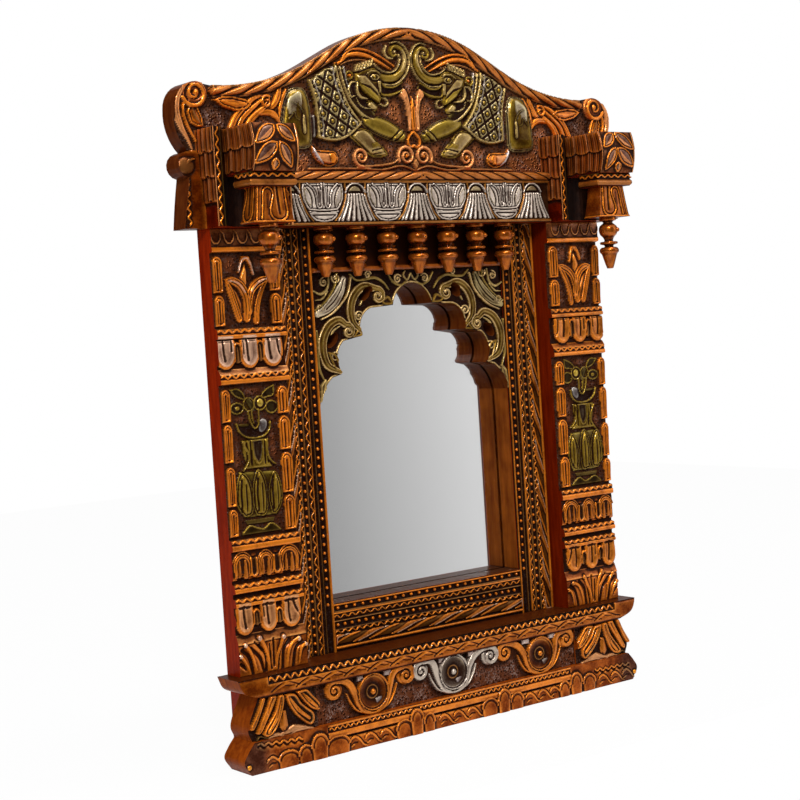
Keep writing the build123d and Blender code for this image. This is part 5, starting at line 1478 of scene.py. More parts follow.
def build_base_corner(front, top, bottom, inner):
    """Block with a flared lotus: long loops that fan out from under the ledge."""
    g = front - 5.5
    edge = smooth([(210.4, bottom), (213, bottom + 11.5), (202, top)])
    outline = np.vstack([[(inner, bottom)], edge, [(inner, top)]])
    r = Relief(inner, 213.2, bottom, top, step=0.6, ground=g, paint=CORNER_GROUND)
    r.punch[r.rows(bottom, top, inner, 160)] = 1
    # The paler mound at the foot is a painted highlight.
    r.area([(193, 31), (184, 29), (171, 33.4), (160, 31), (151, 27), (151, 25), (198, 25)], 3.4, g,
           bevel=3.0, paint=CORNER_MOUND_HIGHLIGHT)
    for shape, blade in (
        ([(201, 60.4), (206, 50), (213.4, 38), (211, 35.6), (207.4, 39), (201.4, 50), (197.4, 59.6)], None),
        ([(192.4, 60.6), (197.6, 51), (206.4, 36), (206.6, 31.4), (202.4, 33), (197, 41), (190, 52),
          (186.6, 59.6)], [(190.6, 58), (196, 47), (203, 35.6)]),
        ([(184.6, 60), (189.6, 47), (198.6, 36), (201.4, 30.6), (197.4, 27.8), (190.4, 30.6), (185, 38.6),
          (180.4, 50), (179.4, 59)], [(182.4, 56), (187.6, 42), (196, 31.6)]),
        ([(178.4, 59.6), (175.4, 50), (169.4, 40.6), (161.4, 33), (155.4, 29.6), (151.4, 32.6),
          (151.6, 39.4), (157.4, 44.8), (163, 50), (168.6, 58)], [(174.6, 56.6), (167, 45), (156.4, 35.6)]),
        ([(167.6, 59.6), (161.6, 51), (154, 43), (147, 40.2), (143.4, 42), (146, 48), (151.4, 54),
          (157.4, 60)], [(161.4, 57), (154.6, 49.6), (148.4, 43.6)]),
    ):
        r.area(shape, 4.6, g, bevel=1.2, paint=COPPER, wear_and_sheen=0.2, curve=True)
        r.dish(inset(closed_curve(shape, 4), 1.9), 2.2, 1.3, CORNER_HOLLOW, curve=False)
        if blade:
            r.stroke(blade, [2.0, 4.2, 3.4], [1.6, 2.2, 2.0], g + 2.6, 0.5, paint=COPPER, wear_and_sheen=0.05)
            r.cut(blade[:2], 1.2, 0.9)
    r.area([(182.6, 46), (184.6, 33), (180, 26.6), (176, 33), (177.4, 46)], 3.2, g, bevel=1.8, line=0.9,
           line_in=1.4, paint=AMBER, wear_and_sheen=0.1)
    r.stroke([(207.4, 26.6), (204, 29.4), (197, 26.8), (188, 27.4), (180, 25.4), (170, 27)], 1.3, 3.6, g,
             wear_and_sheen=0.2)
    r.paint *= CORNER_SHADE
    for name, place, flips in (("base_corner_right", forward, False),
                               ("base_corner_left", forward_flipped, True)):
        pieces = carved(r, name + "_carving", place, 0.0, outline=outline, flips=flips,
                        edge_paint=AMBER)
        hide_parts(name)


def build_plinth(front, top):
    edge = smooth([(214.8, 0.0), (221, 10.4), (216.7, 18.7), (210.4, top)])
    outline = np.vstack([edge, flip(edge)[::-1]])
    face = front - 1.4
    r = Relief(-PLINTH_HALF, PLINTH_HALF, 0.0, top, step=0.62, ground=face, paint=COPPER)
    # between the corners: a small wave, a band and a dark groove
    strip = r.rows(19.6, 24.2, *PLINTH_RUN)
    r.H[strip], r.paint[strip] = front - 2.4, PLINTH_STRIP
    groove = r.rows(12.2, 14.0, *PLINTH_RUN)
    r.H[groove], r.paint[groove] = front - 3.4, NIGHT
    bar(r, 14.0, 19.4, front - 0.2, front - 3, 0.3, COPPER, *PLINTH_RUN)
    bar(r, 23.8, top, front - 0.6, front - 3, 0.3, COPPER, *PLINTH_RUN)
    r.wave(-137, 132, 21.9, 1.2, 5.6, 1.6, 1.5, base=front - 2.4, paint=COPPER)
    for side, line in ((1, [(166, 17.6), (178, 16.4), (194, 16.6), (210, 15.6)]),
                       (-1, [(165, 20.6), (180, 21.4), (196, 22.6), (207, 23.6)])):
        path = smooth(on_side(side)(line), 12)
        path[:, 1] += 1.1 * np.sin(path[:, 0] / 7.4 * 2 * math.pi)
        r.cut(path + (0, -1.6), 2.2, 1.4, curve=False)
        r.stroke(path, 1.7, 1.2, face - 0.3, curve=False, wear_and_sheen=0.15)
    # scallops that run along the foot
    starts = [-118, -102, -86, -22, -6, 10, 78, 94, 108, 170, 186, 201, -200, -184]
    for x in starts:
        arch = [(x, 7.6), (x + 2.6, 10.2), (x + 6.4, 10.8), (x + 10.4, 7.8), (x + 14, 3.2), (x + 17.4, 1.6)]
        r.cut(np.array(arch) + (0.2, 1.4), 1.5, 0.9)
        r.stroke(arch, [1.6, 2.2, 2.2, 1.8, 1.0], 1.0, face - 0.4, wear_and_sheen=0.1, paint=COPPER)
        r.cut([(x + 2.6, 4.6), (x + 5, 6.2), (x + 8, 5.8)], 1.3, 0.6)
        r.stroke([(x + 1.6, 3.4), (x + 4.4, 4.8)], 1.4, 1.0, face - 0.4, wear_and_sheen=0.2, paint=COPPER)
    # raised lobes
    for x, half, high, tall in (
        (-179, 10, 13.6, 0.9), (-162.4, 7, 14.4, 1.2), (-148.6, 8.4, 21.0, 1.8), (-130, 12, 15.6, 1.2),
        (-61, 8.6, 15.2, 1.3), (-47.4, 7.0, 22.0, 2.2), (-33.4, 6.2, 15.8, 1.3), (35.4, 9.0, 15.4, 1.3),
        (51.8, 7.2, 20.6, 2.2), (67.4, 7.8, 15.0, 1.3), (126, 6.4, 14.4, 1.2), (140.4, 7.2, 19.6, 1.8),
        (157.4, 8.0, 15.6, 1.2),
    ):
        shape = upright(x, half, high, -2, 0.45)
        r.area(shape, tall, face - 0.4, bevel=1.6, dome=0.3, paint=COPPER)
        r.stroke(shape[1:-1], 1.4, 0.9, face + tall - 0.7, curve=False, wear_and_sheen=0.15, paint=COPPER)
        r.cut(inset(shape, 2.2)[1:-1], 1.1, 0.5, curve=False)
    r.H = np.minimum(r.H, front + 2.0)
    ends = np.clip((np.abs(r.X) - 190) / 14, 0, 1)[..., None]
    r.paint = r.paint * (1 - ends) + np.array(PLINTH_ENDS) * ends
    for side in (-1, 1):
        r.blob(side * 217, 7, 2.2, 2.2, 1.6, base=face, paint=PLINTH_PEG)
    r.paint *= PLINTH_SHADE
    pieces = carved(r, "base_plinth_carving", forward, 0.0, outline=outline,
                    edge_paint=AMBER)
    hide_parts("base_plinth")


# Mouldings round the opening

# The height that their carving doesn't pass
MOULDING_FRONT = 4.4


def beads(name, places, radius):
    """Half-buried beads, joined into one piece. places are x, y, z of their middles."""
    sides, rings, sunk = 12, 5, 0.35
    rise = np.linspace(-sunk, 1, rings + 1)[:-1] * math.pi / 2
    turn = np.linspace(0, 2 * math.pi, sides, endpoint=False)
    U, T = np.meshgrid(rise, turn, indexing="ij")
    shell = np.stack([np.cos(U) * np.cos(T), -np.sin(U), np.cos(U) * np.sin(T)], -1).reshape(-1, 3)
    shell = np.vstack([shell, [(0, -1, 0)], [(0, math.sin(sunk * math.pi / 2), 0)]])
    k, after = np.arange(sides), (np.arange(sides) + 1) % sides
    quads = [
        np.stack([j * sides + k, (j + 1) * sides + k, (j + 1) * sides + after, j * sides + after], 1)
        for j in range(rings - 1)
    ]
    tip = rings * sides
    top = np.stack([tip - sides + k, np.full(sides, tip), tip - sides + after], 1)
    bottom = np.stack([k, after, np.full(sides, tip + 1)], 1)
    places = np.asarray(places, float)
    verts = (places[:, None] + radius * shell[None]).reshape(-1, 3)
    step = (np.arange(len(places)) * len(shell))[:, None, None]
    faces = [(q[None] + step).reshape(-1, q.shape[1])[:, ::-1] for q in (np.concatenate(quads), top,
                                                                         bottom)]
    piece = mesh_object(name, verts, faces, CARVED, sharp=0)
    # Painted light: each bead is darker where it turns away from the front, as painted shade, and rubbed
    # bright where it faces the front, as a painted highlight.
    facing = np.tile(np.clip(-shell[:, 1], 0, 1), len(places))
    dark = np.clip(0.25 - 0.9 * facing, 0, 1)
    add_point_data(piece, COPPER, dark=dark, rub=0.45 * facing, punch=np.zeros(len(verts)))


def moulding_rows(r, run, upright, places, pitches, start, end):
    """Strips, waves, beads and a leaf rope along a moulding, and the places of its two rows of beads.

    run(u) is the place across it for a distance from the opening. places are such distances.
    """
    bead_one, line_one, wave_one, bead_two, wave_two, leaf = places
    wave_one_pitch, wave_two_pitch, pitch, bead_one_pitch, bead_two_pitch = pitches

    def line(u, a=start, b=end):
        return [(run(u), a), (run(u), b)] if upright else [(a, run(u)), (b, run(u))]

    r.stroke(line(1.0), 2.0, 3.2, 0.2, 0.25, curve=False, paint=COPPER, wear_and_sheen=0.1)
    r.stroke(line(bead_one + 3.2), 1.2, 2.2, 0.6, 0.4, curve=False, paint=UMBER)
    r.stroke(line(line_one), 1.3, 2.8, 0.5, 0.3, curve=False, paint=COPPER, wear_and_sheen=0.1)
    r.stroke(line(wave_one), 4.2, 1.2, 0.5, 0.25, curve=False, paint=UMBER)
    r.wave(start, end, run(wave_one), 1.3, wave_one_pitch, 1.25, 1.9, base=1.2, paint=COPPER,
           upright=upright)
    r.stroke(line((wave_one + bead_two) / 2 + 0.4), 1.6, 2.2, 0.6, 0.4, curve=False, paint=UMBER)
    r.stroke(line(wave_two - 2.0), 1.1, 2.2, 0.6, 0.4, curve=False, paint=UMBER)
    r.wave(start, end, run(wave_two), 1.1, wave_two_pitch, 1.3, 2.6, base=0.9, paint=COPPER,
           upright=upright)
    # leaves that wind along a round bar; the pale streak on each is a painted highlight
    r.stroke(line(leaf), 8.6, 2.8, 0.4, 0.4, curve=False, paint=ROUND_BAR)
    for k in range(-1, int((end - start) / pitch) + 1):
        a = start + (k + 0.4) * pitch
        for shift, wide, height, tone, worn in (
            (0, 4.6, 1.5, AMBER, 0.0), (0.42, 3.0, 1.3, COPPER, 0.1), (0.13, 1.2, 1.9, PALE_HIGHLIGHT, 0.3),
        ):
            b = a + shift * pitch
            pts = [(run(leaf + 4.2), b), (run(leaf + 1.6), b + 0.22 * pitch),
                   (run(leaf - 2.0), b + 0.5 * pitch), (run(leaf - 3.8), b + 0.78 * pitch)]
            pts = [(x, min(max(z, start), end)) for x, z in pts]
            pts = pts if upright else [(z, x) for x, z in pts]
            r.stroke(pts, [1.0, wide, wide * 0.8, 0.8], height, 2.2, 0.5, paint=tone, wear_and_sheen=worn)
    r.stroke(line(37.9), 2.8, 3.2, 0.3, 0.3, curve=False, paint=COPPER, wear_and_sheen=0.05)
    row_one = [(run(bead_one), z) for z in np.arange(start + 4, end - 1, bead_one_pitch)]
    row_two = [(run(bead_two), z) for z in np.arange(start + 3, end - 1, bead_two_pitch)]
    return row_one, row_two


def build_mouldings():
    x0, x1, _, _, z0, z1 = in_mm(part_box("inner_moulding_right"))
    opening_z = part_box("inner_moulding_bottom")[1].z / MM
    r = Relief(x0, x1, z0, z1, step=0.62, ground=0.7, paint=NIGHT)
    places, pitches = (5.4, 12.8, 15.2, 21.0, 26.3, 31.6), (9.6, 7.6, 37.0, 7.4, 7.2)
    one, two = moulding_rows(r, lambda u: x0 + u, True, places, pitches, z0 + 0.5, z1 - 0.5)
    r.H = np.minimum(r.H, MOULDING_FRONT)
    r.H[:, 0] = r.H[:, -1] = 0.6
    r.paint *= MOULDING_SHADE
    for name, side, place in (("right", 1, forward), ("left", -1, forward_flipped)):
        pieces = carved(r, f"inner_moulding_{name}_carving", place, 0.0, flips=side < 0)
        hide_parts("inner_moulding_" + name)
        middles = [(side * x, GLUE_Y - 1.5, z) for x, z in one if z > opening_z]
        middles += [(side * x, GLUE_Y - 1.3, z) for x, z in two]
        beads(f"moulding_beads_{name}", middles, 1.55)
    r = Relief(-x0, x0, z0, opening_z, step=0.62, ground=0.7, paint=NIGHT)
    places, pitches = (3.8, 8.6, 11.2, 18.4, 24.4, 31.0), (8.0, 7.6, 42.0, 8.8, 7.4)
    one, two = moulding_rows(r, lambda u: opening_z - u, False, places, pitches, -x0 + 0.5, x0 - 0.5)
    r.H = np.minimum(r.H, MOULDING_FRONT)
    r.paint *= MOULDING_SHADE
    pieces = carved(r, "inner_moulding_bottom_carving", forward, 0.0)
    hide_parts("inner_moulding_bottom")
    beads("moulding_beads_bottom", [(x, GLUE_Y - 1.5, z) for z, x in one + two], 1.6)


# Arch panel


def arch_outline():
    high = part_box("arch_panel")[1]
    half, top, tall = high.x / MM, high.z / MM, 115.0
    lobes = (((1.0, 1.0), (0.928, 0.843), (0.857, 0.778)), ((0.762, 0.757), (0.8, 0.635), (0.729, 0.513)),
             ((0.542, 0.483), (0.54, 0.365), (0.436, 0.278)), ((0.204, 0.265), (0.142, 0.157), (0.0, 0.1)))
    side = [q for lobe in lobes for q in arc(*[(x * half, top - z * tall) for x, z in lobe])]
    right = [(half, top), *side]
    left = [(-x, z) for x, z in right[::-1]][1:]
    holes = []
    for x, z in ((0.475, 0.17), (0.83, 0.5)):
        for sign in (1, -1):
            turn = np.linspace(0, 2 * math.pi, 16, endpoint=False)
            u, v = 8.0 * np.cos(turn), 4.75 * np.sin(turn)
            px, pz = x * half + (u + v) * math.sqrt(0.5), top - z * tall + (v - u) * math.sqrt(0.5)
            holes.append(np.stack([sign * px, pz], 1))
    return right + left, holes


def build_arch():
    outline, holes = arch_outline()
    _, half, _, rear, z0, z1 = in_mm(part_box("arch_panel"))
    r = Relief(-half, half, z0, z1, step=0.6, ground=0.0, paint=NIGHT)
    rim = [(x, z) for x, z in outline if abs(x) < half - 0.5 and z < z1 - 0.5]
    right = [q for q in rim if q[0] >= 0]
    for side in (-1, 1):
        m = on_side(-side)
        r.stroke(on_side(side)(right), 4.0, 1.6, 0, 0.4, curve=False, lip=0.7, lip_paint=GOLD, paint=GILT)
        # the two large scrolls that hug the cusps, with a smaller line inside
        upper = spiral(-38, 379, 6.4, 1.2, 100, -1, 0.25,
                       [(-58, 349), (-66.5, 358), (-67.5, 371), (-62, 382), (-52, 388)])
        lower = spiral(-72, 350, 6.0, 1.2, 110, -1, 0.25,
                       [(-83, 316), (-95, 322), (-99.5, 334), (-98, 346), (-91, 356), (-81, 360)])
        for line, wide in ((upper, (5, 8.5, 9, 8.5, 7, 4.6, 3)), (lower, (5, 8.5, 9.5, 9, 7.5, 4.6, 3))):
            r.stroke(m(line), wide, 3.0, 0.2, 0.35, curve=False, lip=1.1, lip_paint=GOLD, paint=GILT)
            r.stroke(m(line[:-12]), 1.1, 0.7, 3.0, curve=False, wear_and_sheen=0.15, paint=SCROLL_LINE)
        r.blob(side * 38, 379, 3.0, 3.0, 3.3, paint=GILT)
        r.blob(side * 72, 350, 2.8, 2.8, 3.2, paint=GILT)
        for shape, tone in (
            ([(-36, 374), (-27, 379), (-22, 371.5), (-30, 370.5)], GILT),
            ([(-69, 344), (-60, 352), (-57, 346), (-62, 344.5)], GILT),
            ([(-95, 334), (-86, 331), (-80.5, 316), (-88, 318)], GILT),
            ([(-104, 306), (-98, 311), (-99, 300), (-105, 291)], CREAM_AND_HIGHLIGHT),
        ):
            r.area(m(shape), 3.0, 0.2, bevel=1.2, curve=True, rim=0.9, hollow=0.8, paint=tone)
        for cx, cz, radius, start in ((-59.5, 362.5, 4.6, 20), (-87, 329, 4.2, 40), (-100, 371, 4.4, 200),
                                      (-81, 396, 4.6, 160), (-15, 393, 4.4, 30), (-47, 398, 3.6, 10),
                                      (-94, 393, 4.0, 90)):
            r.stroke(m(spiral(cx, cz, radius, 1.3, start, 1, 0.25)), [1.6, 1.8, 1.4], 2.8, 0.3, curve=False,
                     wear_and_sheen=0.3, paint=GOLD)
            r.blob(-side * cx, cz, 1.5, 1.5, 2.8, paint=CREAM_AND_HIGHLIGHT)
        # the long leaf between the scrolls and the corner, painted pale on the left and darker on the
        # right, as painted light and shade
        leaf = [(-102, 366), (-93, 370), (-84, 377), (-77, 386), (-73, 395)]
        r.stroke(m(leaf), [6, 9.5, 11, 9.5, 5], 2.8, 0.3, 0.35, paint=LEAF_RIGHT_SHADED if side > 0 else LEAF_LEFT_LIT,
                 lip=0.8)
        r.stroke(m([(-106, 369), (-96, 374.5), (-88, 382), (-82, 391), (-80, 400)]), [1.4, 2.2, 2.0], 3.3,
                 0.3, wear_and_sheen=0.1, paint=SCROLL_LINE)
        r.stroke(m([(-99, 361.5), (-88, 366), (-78, 373.5), (-70, 383), (-66, 396)]), [1.6, 3.0, 2.6, 1.8],
                 3.4, 0.3, lip=0.6, lip_paint=GOLD, paint=GILT)
        r.cut(m(leaf[1:]), 1.3, 0.9)
        # smaller leaves that fill the corners
        for points, wide, tone in (
            ([(-104, 352), (-103, 338), (-104, 322), (-99, 309)], (2.0, 3.6, 3.4, 1.6), ARCH_LEAF),
            ([(-105, 386), (-97, 383), (-90, 388), (-88, 399)], (1.6, 3.0, 2.8, 1.6), CREAM_AND_HIGHLIGHT),
            ([(-66, 399), (-60, 394), (-52, 393.5), (-40, 395), (-31, 391), (-25, 384)],
             (1.6, 2.8, 3.2, 3.0, 1.4), ARCH_LEAF),
            ([(-25, 398), (-20, 391), (-12, 387.5), (-5, 391)], (1.4, 2.8, 2.6, 1.4), ARCH_LEAF),
            ([(-6, 400), (-8, 396), (-4, 392), (0, 398)], (1.2, 2.4, 2.0, 1.2), CREAM_AND_HIGHLIGHT),
            ([(-103, 378), (-96, 379), (-90, 385)], (1.2, 2.4, 1.2), CREAM_AND_HIGHLIGHT),
            ([(-57, 372), (-52, 380), (-44, 384)], (1.4, 3.0, 1.4), CREAM_AND_HIGHLIGHT),
            ([(-90, 340), (-88, 350), (-80, 355)], (1.4, 3.0, 1.4), CREAM_AND_HIGHLIGHT),
            ([(-104, 298), (-100, 305), (-96, 309)], (1.2, 2.6, 1.2), ARCH_LEAF),
        ):
            r.stroke(m(points), wide, 2.7, 0.2, 0.5, rib=0.5, paint=tone, wear_and_sheen=0.1)
    r.H = np.minimum(r.H, 4.2)
    pieces = carved(r, "arch_panel_carving", forward, GLUE_Y - rear, outline=outline,
                    holes=holes, edge_paint=ARCH_EDGE)
    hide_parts("arch_panel")


# Turned pieces


TURNED_SIDES = 36


def revolve(axis, top, line, sides=TURNED_SIDES):
    """A shape turned round an upright axis. line is radius and drop, from the top down."""
    radius = np.maximum(line[:, :1], 0.02)
    turn = np.linspace(0, 2 * math.pi, sides, endpoint=False)
    z = np.broadcast_to(top - line[:, 1:2], (len(line), sides))
    verts = np.stack([axis[0] + radius * np.cos(turn), axis[1] + radius * np.sin(turn), z], -1)
    k, rows = np.arange(sides), np.arange(len(line) - 1)[:, None] * sides
    after = (k + 1) % sides
    quads = np.stack([rows + sides + k, rows + sides + after, rows + after, rows + k], -1)
    return verts.reshape(-1, 3), quads.reshape(-1, 4)


def ball(x, y, z, radius):
    turn = np.linspace(0, math.pi, 9)
    profile = [(radius * math.sin(t), radius - radius * math.cos(t)) for t in turn]
    return revolve((x, y), z + radius, np.maximum(np.array(profile), 0.02), 14)


def drop_profile(radius, length):
    """Disc, ball, neck, ring and cone, as shares of the radius and the length."""
    shares = ((0.0, 0.0), (0.8, 0.0), (0.88, 0.025), (0.86, 0.06), (0.56, 0.085), (0.5, 0.11), (0.62, 0.13),
              (0.9, 0.18), (0.97, 0.25), (0.86, 0.33), (0.58, 0.39), (0.46, 0.44), (0.5, 0.465),
              (0.86, 0.478), (0.93, 0.5), (0.86, 0.525), (0.5, 0.545), (0.5, 0.575), (0.82, 0.59),
              (1.0, 0.635), (0.97, 0.68), (0.8, 0.72), (0.66, 0.8), (0.5, 0.9), (0.38, 0.965), (0.3, 0.995),
              (0.0, 1.0))
    return [(r * radius, z * length) for r, z in shares]


def baluster_profile(radius, length):
    shares = ((0.0, 0.0), (0.95, 0.0), (0.95, 0.07), (0.5, 0.12), (0.7, 0.18), (0.96, 0.28), (0.7, 0.39),
              (0.45, 0.44), (0.95, 0.47), (1.0, 0.5), (0.95, 0.53), (0.5, 0.56), (0.5, 0.66), (0.95, 0.69),
              (1.0, 0.72), (0.95, 0.75), (0.55, 0.79), (0.7, 0.88), (1.0, 0.93), (1.0, 1.0), (0.0, 1.0))
    return [(r * radius, z * length) for r, z in shares]


def hollows(profile, near=2.4):
    """How deep each point of a turned piece lies between the swells beside it."""
    line = smooth(profile, 5)
    swell = np.array([line[np.abs(line[:, 1] - z) < near, 0].max() for z in line[:, 1]])
    return np.repeat(np.clip((swell - line[:, 0] - 0.9) / 1.5, 0, 1), TURNED_SIDES)


def build_turnings():
    copper = turned_material()
    turns = (40.0, 40.0, 36.0, 14.0, 40.0, 45.0, 50.0)
    jobs = [(f"front_drop_{n + 1}", turns[n]) for n in range(7)]
    jobs += [("corner_drop_left", 40.0), ("corner_drop_right", 40.0)]
    for name, turn in jobs:
        low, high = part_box(name)
        body = name.replace("front_drop", "turned_drop").replace("corner_drop", "turned_corner_drop")
        length = CREST_BOTTOM - low.z / MM
        radius = (high.x - low.x) / 2 / MM
        x = (low.x + high.x) / 2 / MM
        y = high.y / MM - radius
        profile = drop_profile(radius, length)
        verts, quads = revolve((x, y), CREST_BOTTOM, smooth(profile, 5))
        a = math.radians(turn)
        reach = 0.93 * radius
        stud, faces = ball(x + reach * math.sin(a), y - reach * math.cos(a), CREST_BOTTOM - 0.25 * length,
                           2.2)
        peg, peg_faces = revolve((x, y), CREST_BOTTOM + 8, smooth([(0, 0), (3, 0), (3, 4), (3, 9)], 5))
        faces = [quads, faces + len(verts), peg_faces + len(verts) + len(stud)]
        piece = mesh_object(body, np.vstack([verts, stud, peg]), faces, copper, sharp=50)
        dark = np.concatenate([hollows(profile), np.zeros(len(stud) + len(peg))])
        add_point_data(piece, COPPER, dark=dark)
        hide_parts(name)
    for n in range(6):
        name = f"back_baluster_{n + 1}"
        low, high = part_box(name)
        x, y = (low.x + high.x) / 2 / MM, (low.y + high.y) / 2 / MM
        profile = baluster_profile((high.x - low.x) / 2 / MM, (high.z - low.z) / MM)
        verts, quads = revolve((x, y), high.z / MM, smooth(profile, 5))
        piece = mesh_object(f"turned_baluster_{n + 1}", verts, [quads], copper, sharp=50)
        add_point_data(piece, COPPER, dark=hollows(profile, near=1.6))
        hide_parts(name)


def turned_material():
    """Glossy stained turnings: bright on the swells, dark stain and painted shade in the grooves."""
    n = Net("turned_wood")
    streak = n.noise(300.0, 4.0, 0.6, stretch=(1.0, 1.0, 0.2))
    cloud = n.noise(140.0, 3.0)
    base = n.mix(n.ramp(streak, 0.3, 0.75), (0.24, 0.042, 0.003), (0.62, 0.165, 0.014))
    base = n.mix(n.ramp(cloud, 0.55, 0.75, 0.0, 0.3), base, (0.75, 0.28, 0.04))
    # Grooves go towards near-black: stain and painted shade.
    base = n.mix(n.ramp(n.attribute("dark"), 0.05, 0.8, 0.0, 0.8), base, NIGHT)
    return n.principled(
        Base_Color=base, Metallic=0.78, Roughness=n.ramp(cloud, 0.3, 0.7, 0.24, 0.36),
        Normal=n.bump(streak, 0.1, 0.0003), Specular_IOR_Level=0.04, Coat_Weight=0.35, Coat_IOR=1.4,
        Coat_Roughness=0.05,
    )


# Brackets, blocks, ledges and bells


class Wrap:
    """A relief wound round a plan outline: x is the way along it, z is the height."""

    def __init__(self, points, shape=None, flips=False):
        self.p = np.asarray(points, float)
        steps = np.hypot(*(self.p[1:] - self.p[:-1]).T)
        self.at = np.concatenate([[0], np.cumsum(steps)])
        d = (self.p[1:] - self.p[:-1]) / steps[:, None]
        normal = np.stack([d[:, 1], -d[:, 0]], 1)
        self.n = np.vstack([normal[:1], normal[:-1] + normal[1:], normal[-1:]])
        self.n /= np.maximum((self.n**2).sum(1, keepdims=True) / 2, 0.5) ** 0.5
        self.n[[0, -1]] = normal[[0, -1]]
        self.length = self.at[-1]
        self.shape, self.flips = shape, flips

    def __call__(self, x, z, h):
        px, py = np.interp(x, self.at, self.p[:, 0]), np.interp(x, self.at, self.p[:, 1])
        k = np.clip(np.searchsorted(self.at, x, side="right") - 1, 0, len(self.p) - 2)
        d = (self.p[k + 1] - self.p[k]) / (self.at[k + 1] - self.at[k])[:, None]
        nx, ny = d[:, 1].copy(), -d[:, 0].copy()
        for j in range(1, len(self.p) - 1):
            near = np.abs(x - self.at[j]) < 0.35
            nx[near], ny[near] = self.n[j]
        px, py = px + nx * h, py + ny * h
        if self.shape:
            px, py = self.shape(px, py, z)
        return np.stack([-px if self.flips else px, py, z], 1)


def wrapped(r, name, outline, nodes, shape=None):
    """Both hands of a relief that goes round a block, closed by its back, top and bottom."""
    for side, flips in (("right", False), ("left", True)):
        place = Wrap(outline, shape, flips)
        face = carved(r, f"{name}_{side}_carving", place, 0.0, closed=False, flips=flips)[0]
        ny, nx = r.H.shape
        grid = place(r.X.ravel(), r.Z.ravel(), r.H.ravel()).reshape(ny, nx, 3)
        low, high = grid[0], grid[-1]
        ends = np.stack([grid[:, 0], grid[:, -1]], 1).reshape(-1, 3)
        verts = np.vstack([low, high, ends])
        tris = np.array(tessellate_polygon([[Vector((x, y, 0)) for x, y, _ in low]]))
        if cross_sum(low[tris[0]][:, :2]) > 0:
            tris = tris[:, ::-1]
        k = 2 * nx + 2 * np.arange(ny - 1)
        back = np.stack([k, k + 2, k + 3, k + 1], 1)
        faces = [tris, tris[:, ::-1] + nx, back[:, ::-1] if flips else back]
        cap = mesh_object(f"{name}_{side}_caps", verts, faces, CARVED)
        add_plain_data(cap, RED)
        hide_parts(f"{nodes}_{side}")


def shingles(r, a, b, tiers, count, bases):
    """Tiers of upright round-ended bars with pale ridges, one tier over the next."""
    width, thick = (b - a) / count, 1.5
    for (top, bottom), base in zip(tiers, bases):
        for n in range(count):
            x0, x1 = a + n * width, a + (n + 1) * width
            middle = (x0 + x1) / 2
            shape = hanging(middle, width / 2 + 0.25, top, bottom, 0.2)
            r.area(shape, thick, base, bevel=0.9, dome=0.3, paint=SHINGLE)
            for x, lift in ((x0 + 1.0, 2.6), (middle, 1.2), (x1 - 1.0, 2.6)):
                ridge = [(x, bottom + lift), (x, top - 0.5)]
                r.stroke(ridge, 1.3, 0.8, base + thick - 0.2, curve=False, wear_and_sheen=0.35, paint=SHINGLE_RIDGE)
            for x in (middle - width * 0.22, middle + width * 0.22):
                r.cut([(x, bottom + 2), (x, top)], 1.3, 0.9, curve=False)


def build_brackets():
    """Canopy brackets: shingled sides, and a front with a hollow between two waves."""
    x0, x1, front, back, z0, z1 = in_mm(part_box("canopy_bracket_right"))
    lip, flute_depth = 7.0, 14.0
    flute = arc((x0 + lip, front), ((x0 + x1) / 2, front + flute_depth), (x1 - lip, front), 17)
    outline = [(x0, back), (x0, front), *flute, (x1, front), (x1, back)]
    side = back - front
    w = Wrap(outline)
    r = Relief(0, w.length, z0, z1, step=0.7, ground=-4.5, paint=RED)
    tier = (z1 - z0 - 19.5) / 3
    tops = [(z1 - n * tier, z1 - (n + 1) * tier - 0.6) for n in range(3)]
    flute_a, flute_b = side + lip, w.length - side - lip
    for k, (top, bottom) in enumerate(tops):
        win = r.rows(bottom + 0.6, top)
        r.H[win] = np.maximum(r.H[win], -1.5 * k - 0.6)
    for a, b in ((0, side), (w.length - side, w.length)):
        shingles(r, a, b, tops, 2, [-1.5 * k - 1.2 for k in range(3)])
    for a, b in ((side, flute_a), (flute_b, w.length - side)):
        win = r.rows(z0, z1, a, b)
        r.H[win] = np.maximum(r.H[win], -1.2)
        r.paint[win] = NIGHT
        edge = a + 0.7 if a == side else b - 0.7
        # The pink edge line is a painted sheen.
        r.stroke([(edge, z0), (edge, z1)], 1.8, 1.0, -1.0, curve=False, wear_and_sheen=0.3, paint=ROSE_SHEEN)
        r.wave(z0 + 1, z1 - 1, (a + b) / 2 + (0.6 if a == side else -0.6), 1.1, 8.6, 1.5, 1.2, base=-1.2,
               paint=COPPER, upright=True)
    inside = r.rows(z0, z1, flute_a + 1, flute_b - 1)
    r.H[inside] = 0.0
    r.paint[inside] = FLUTE_SHADE
    wrapped(r, "bracket", outline, "canopy_bracket")


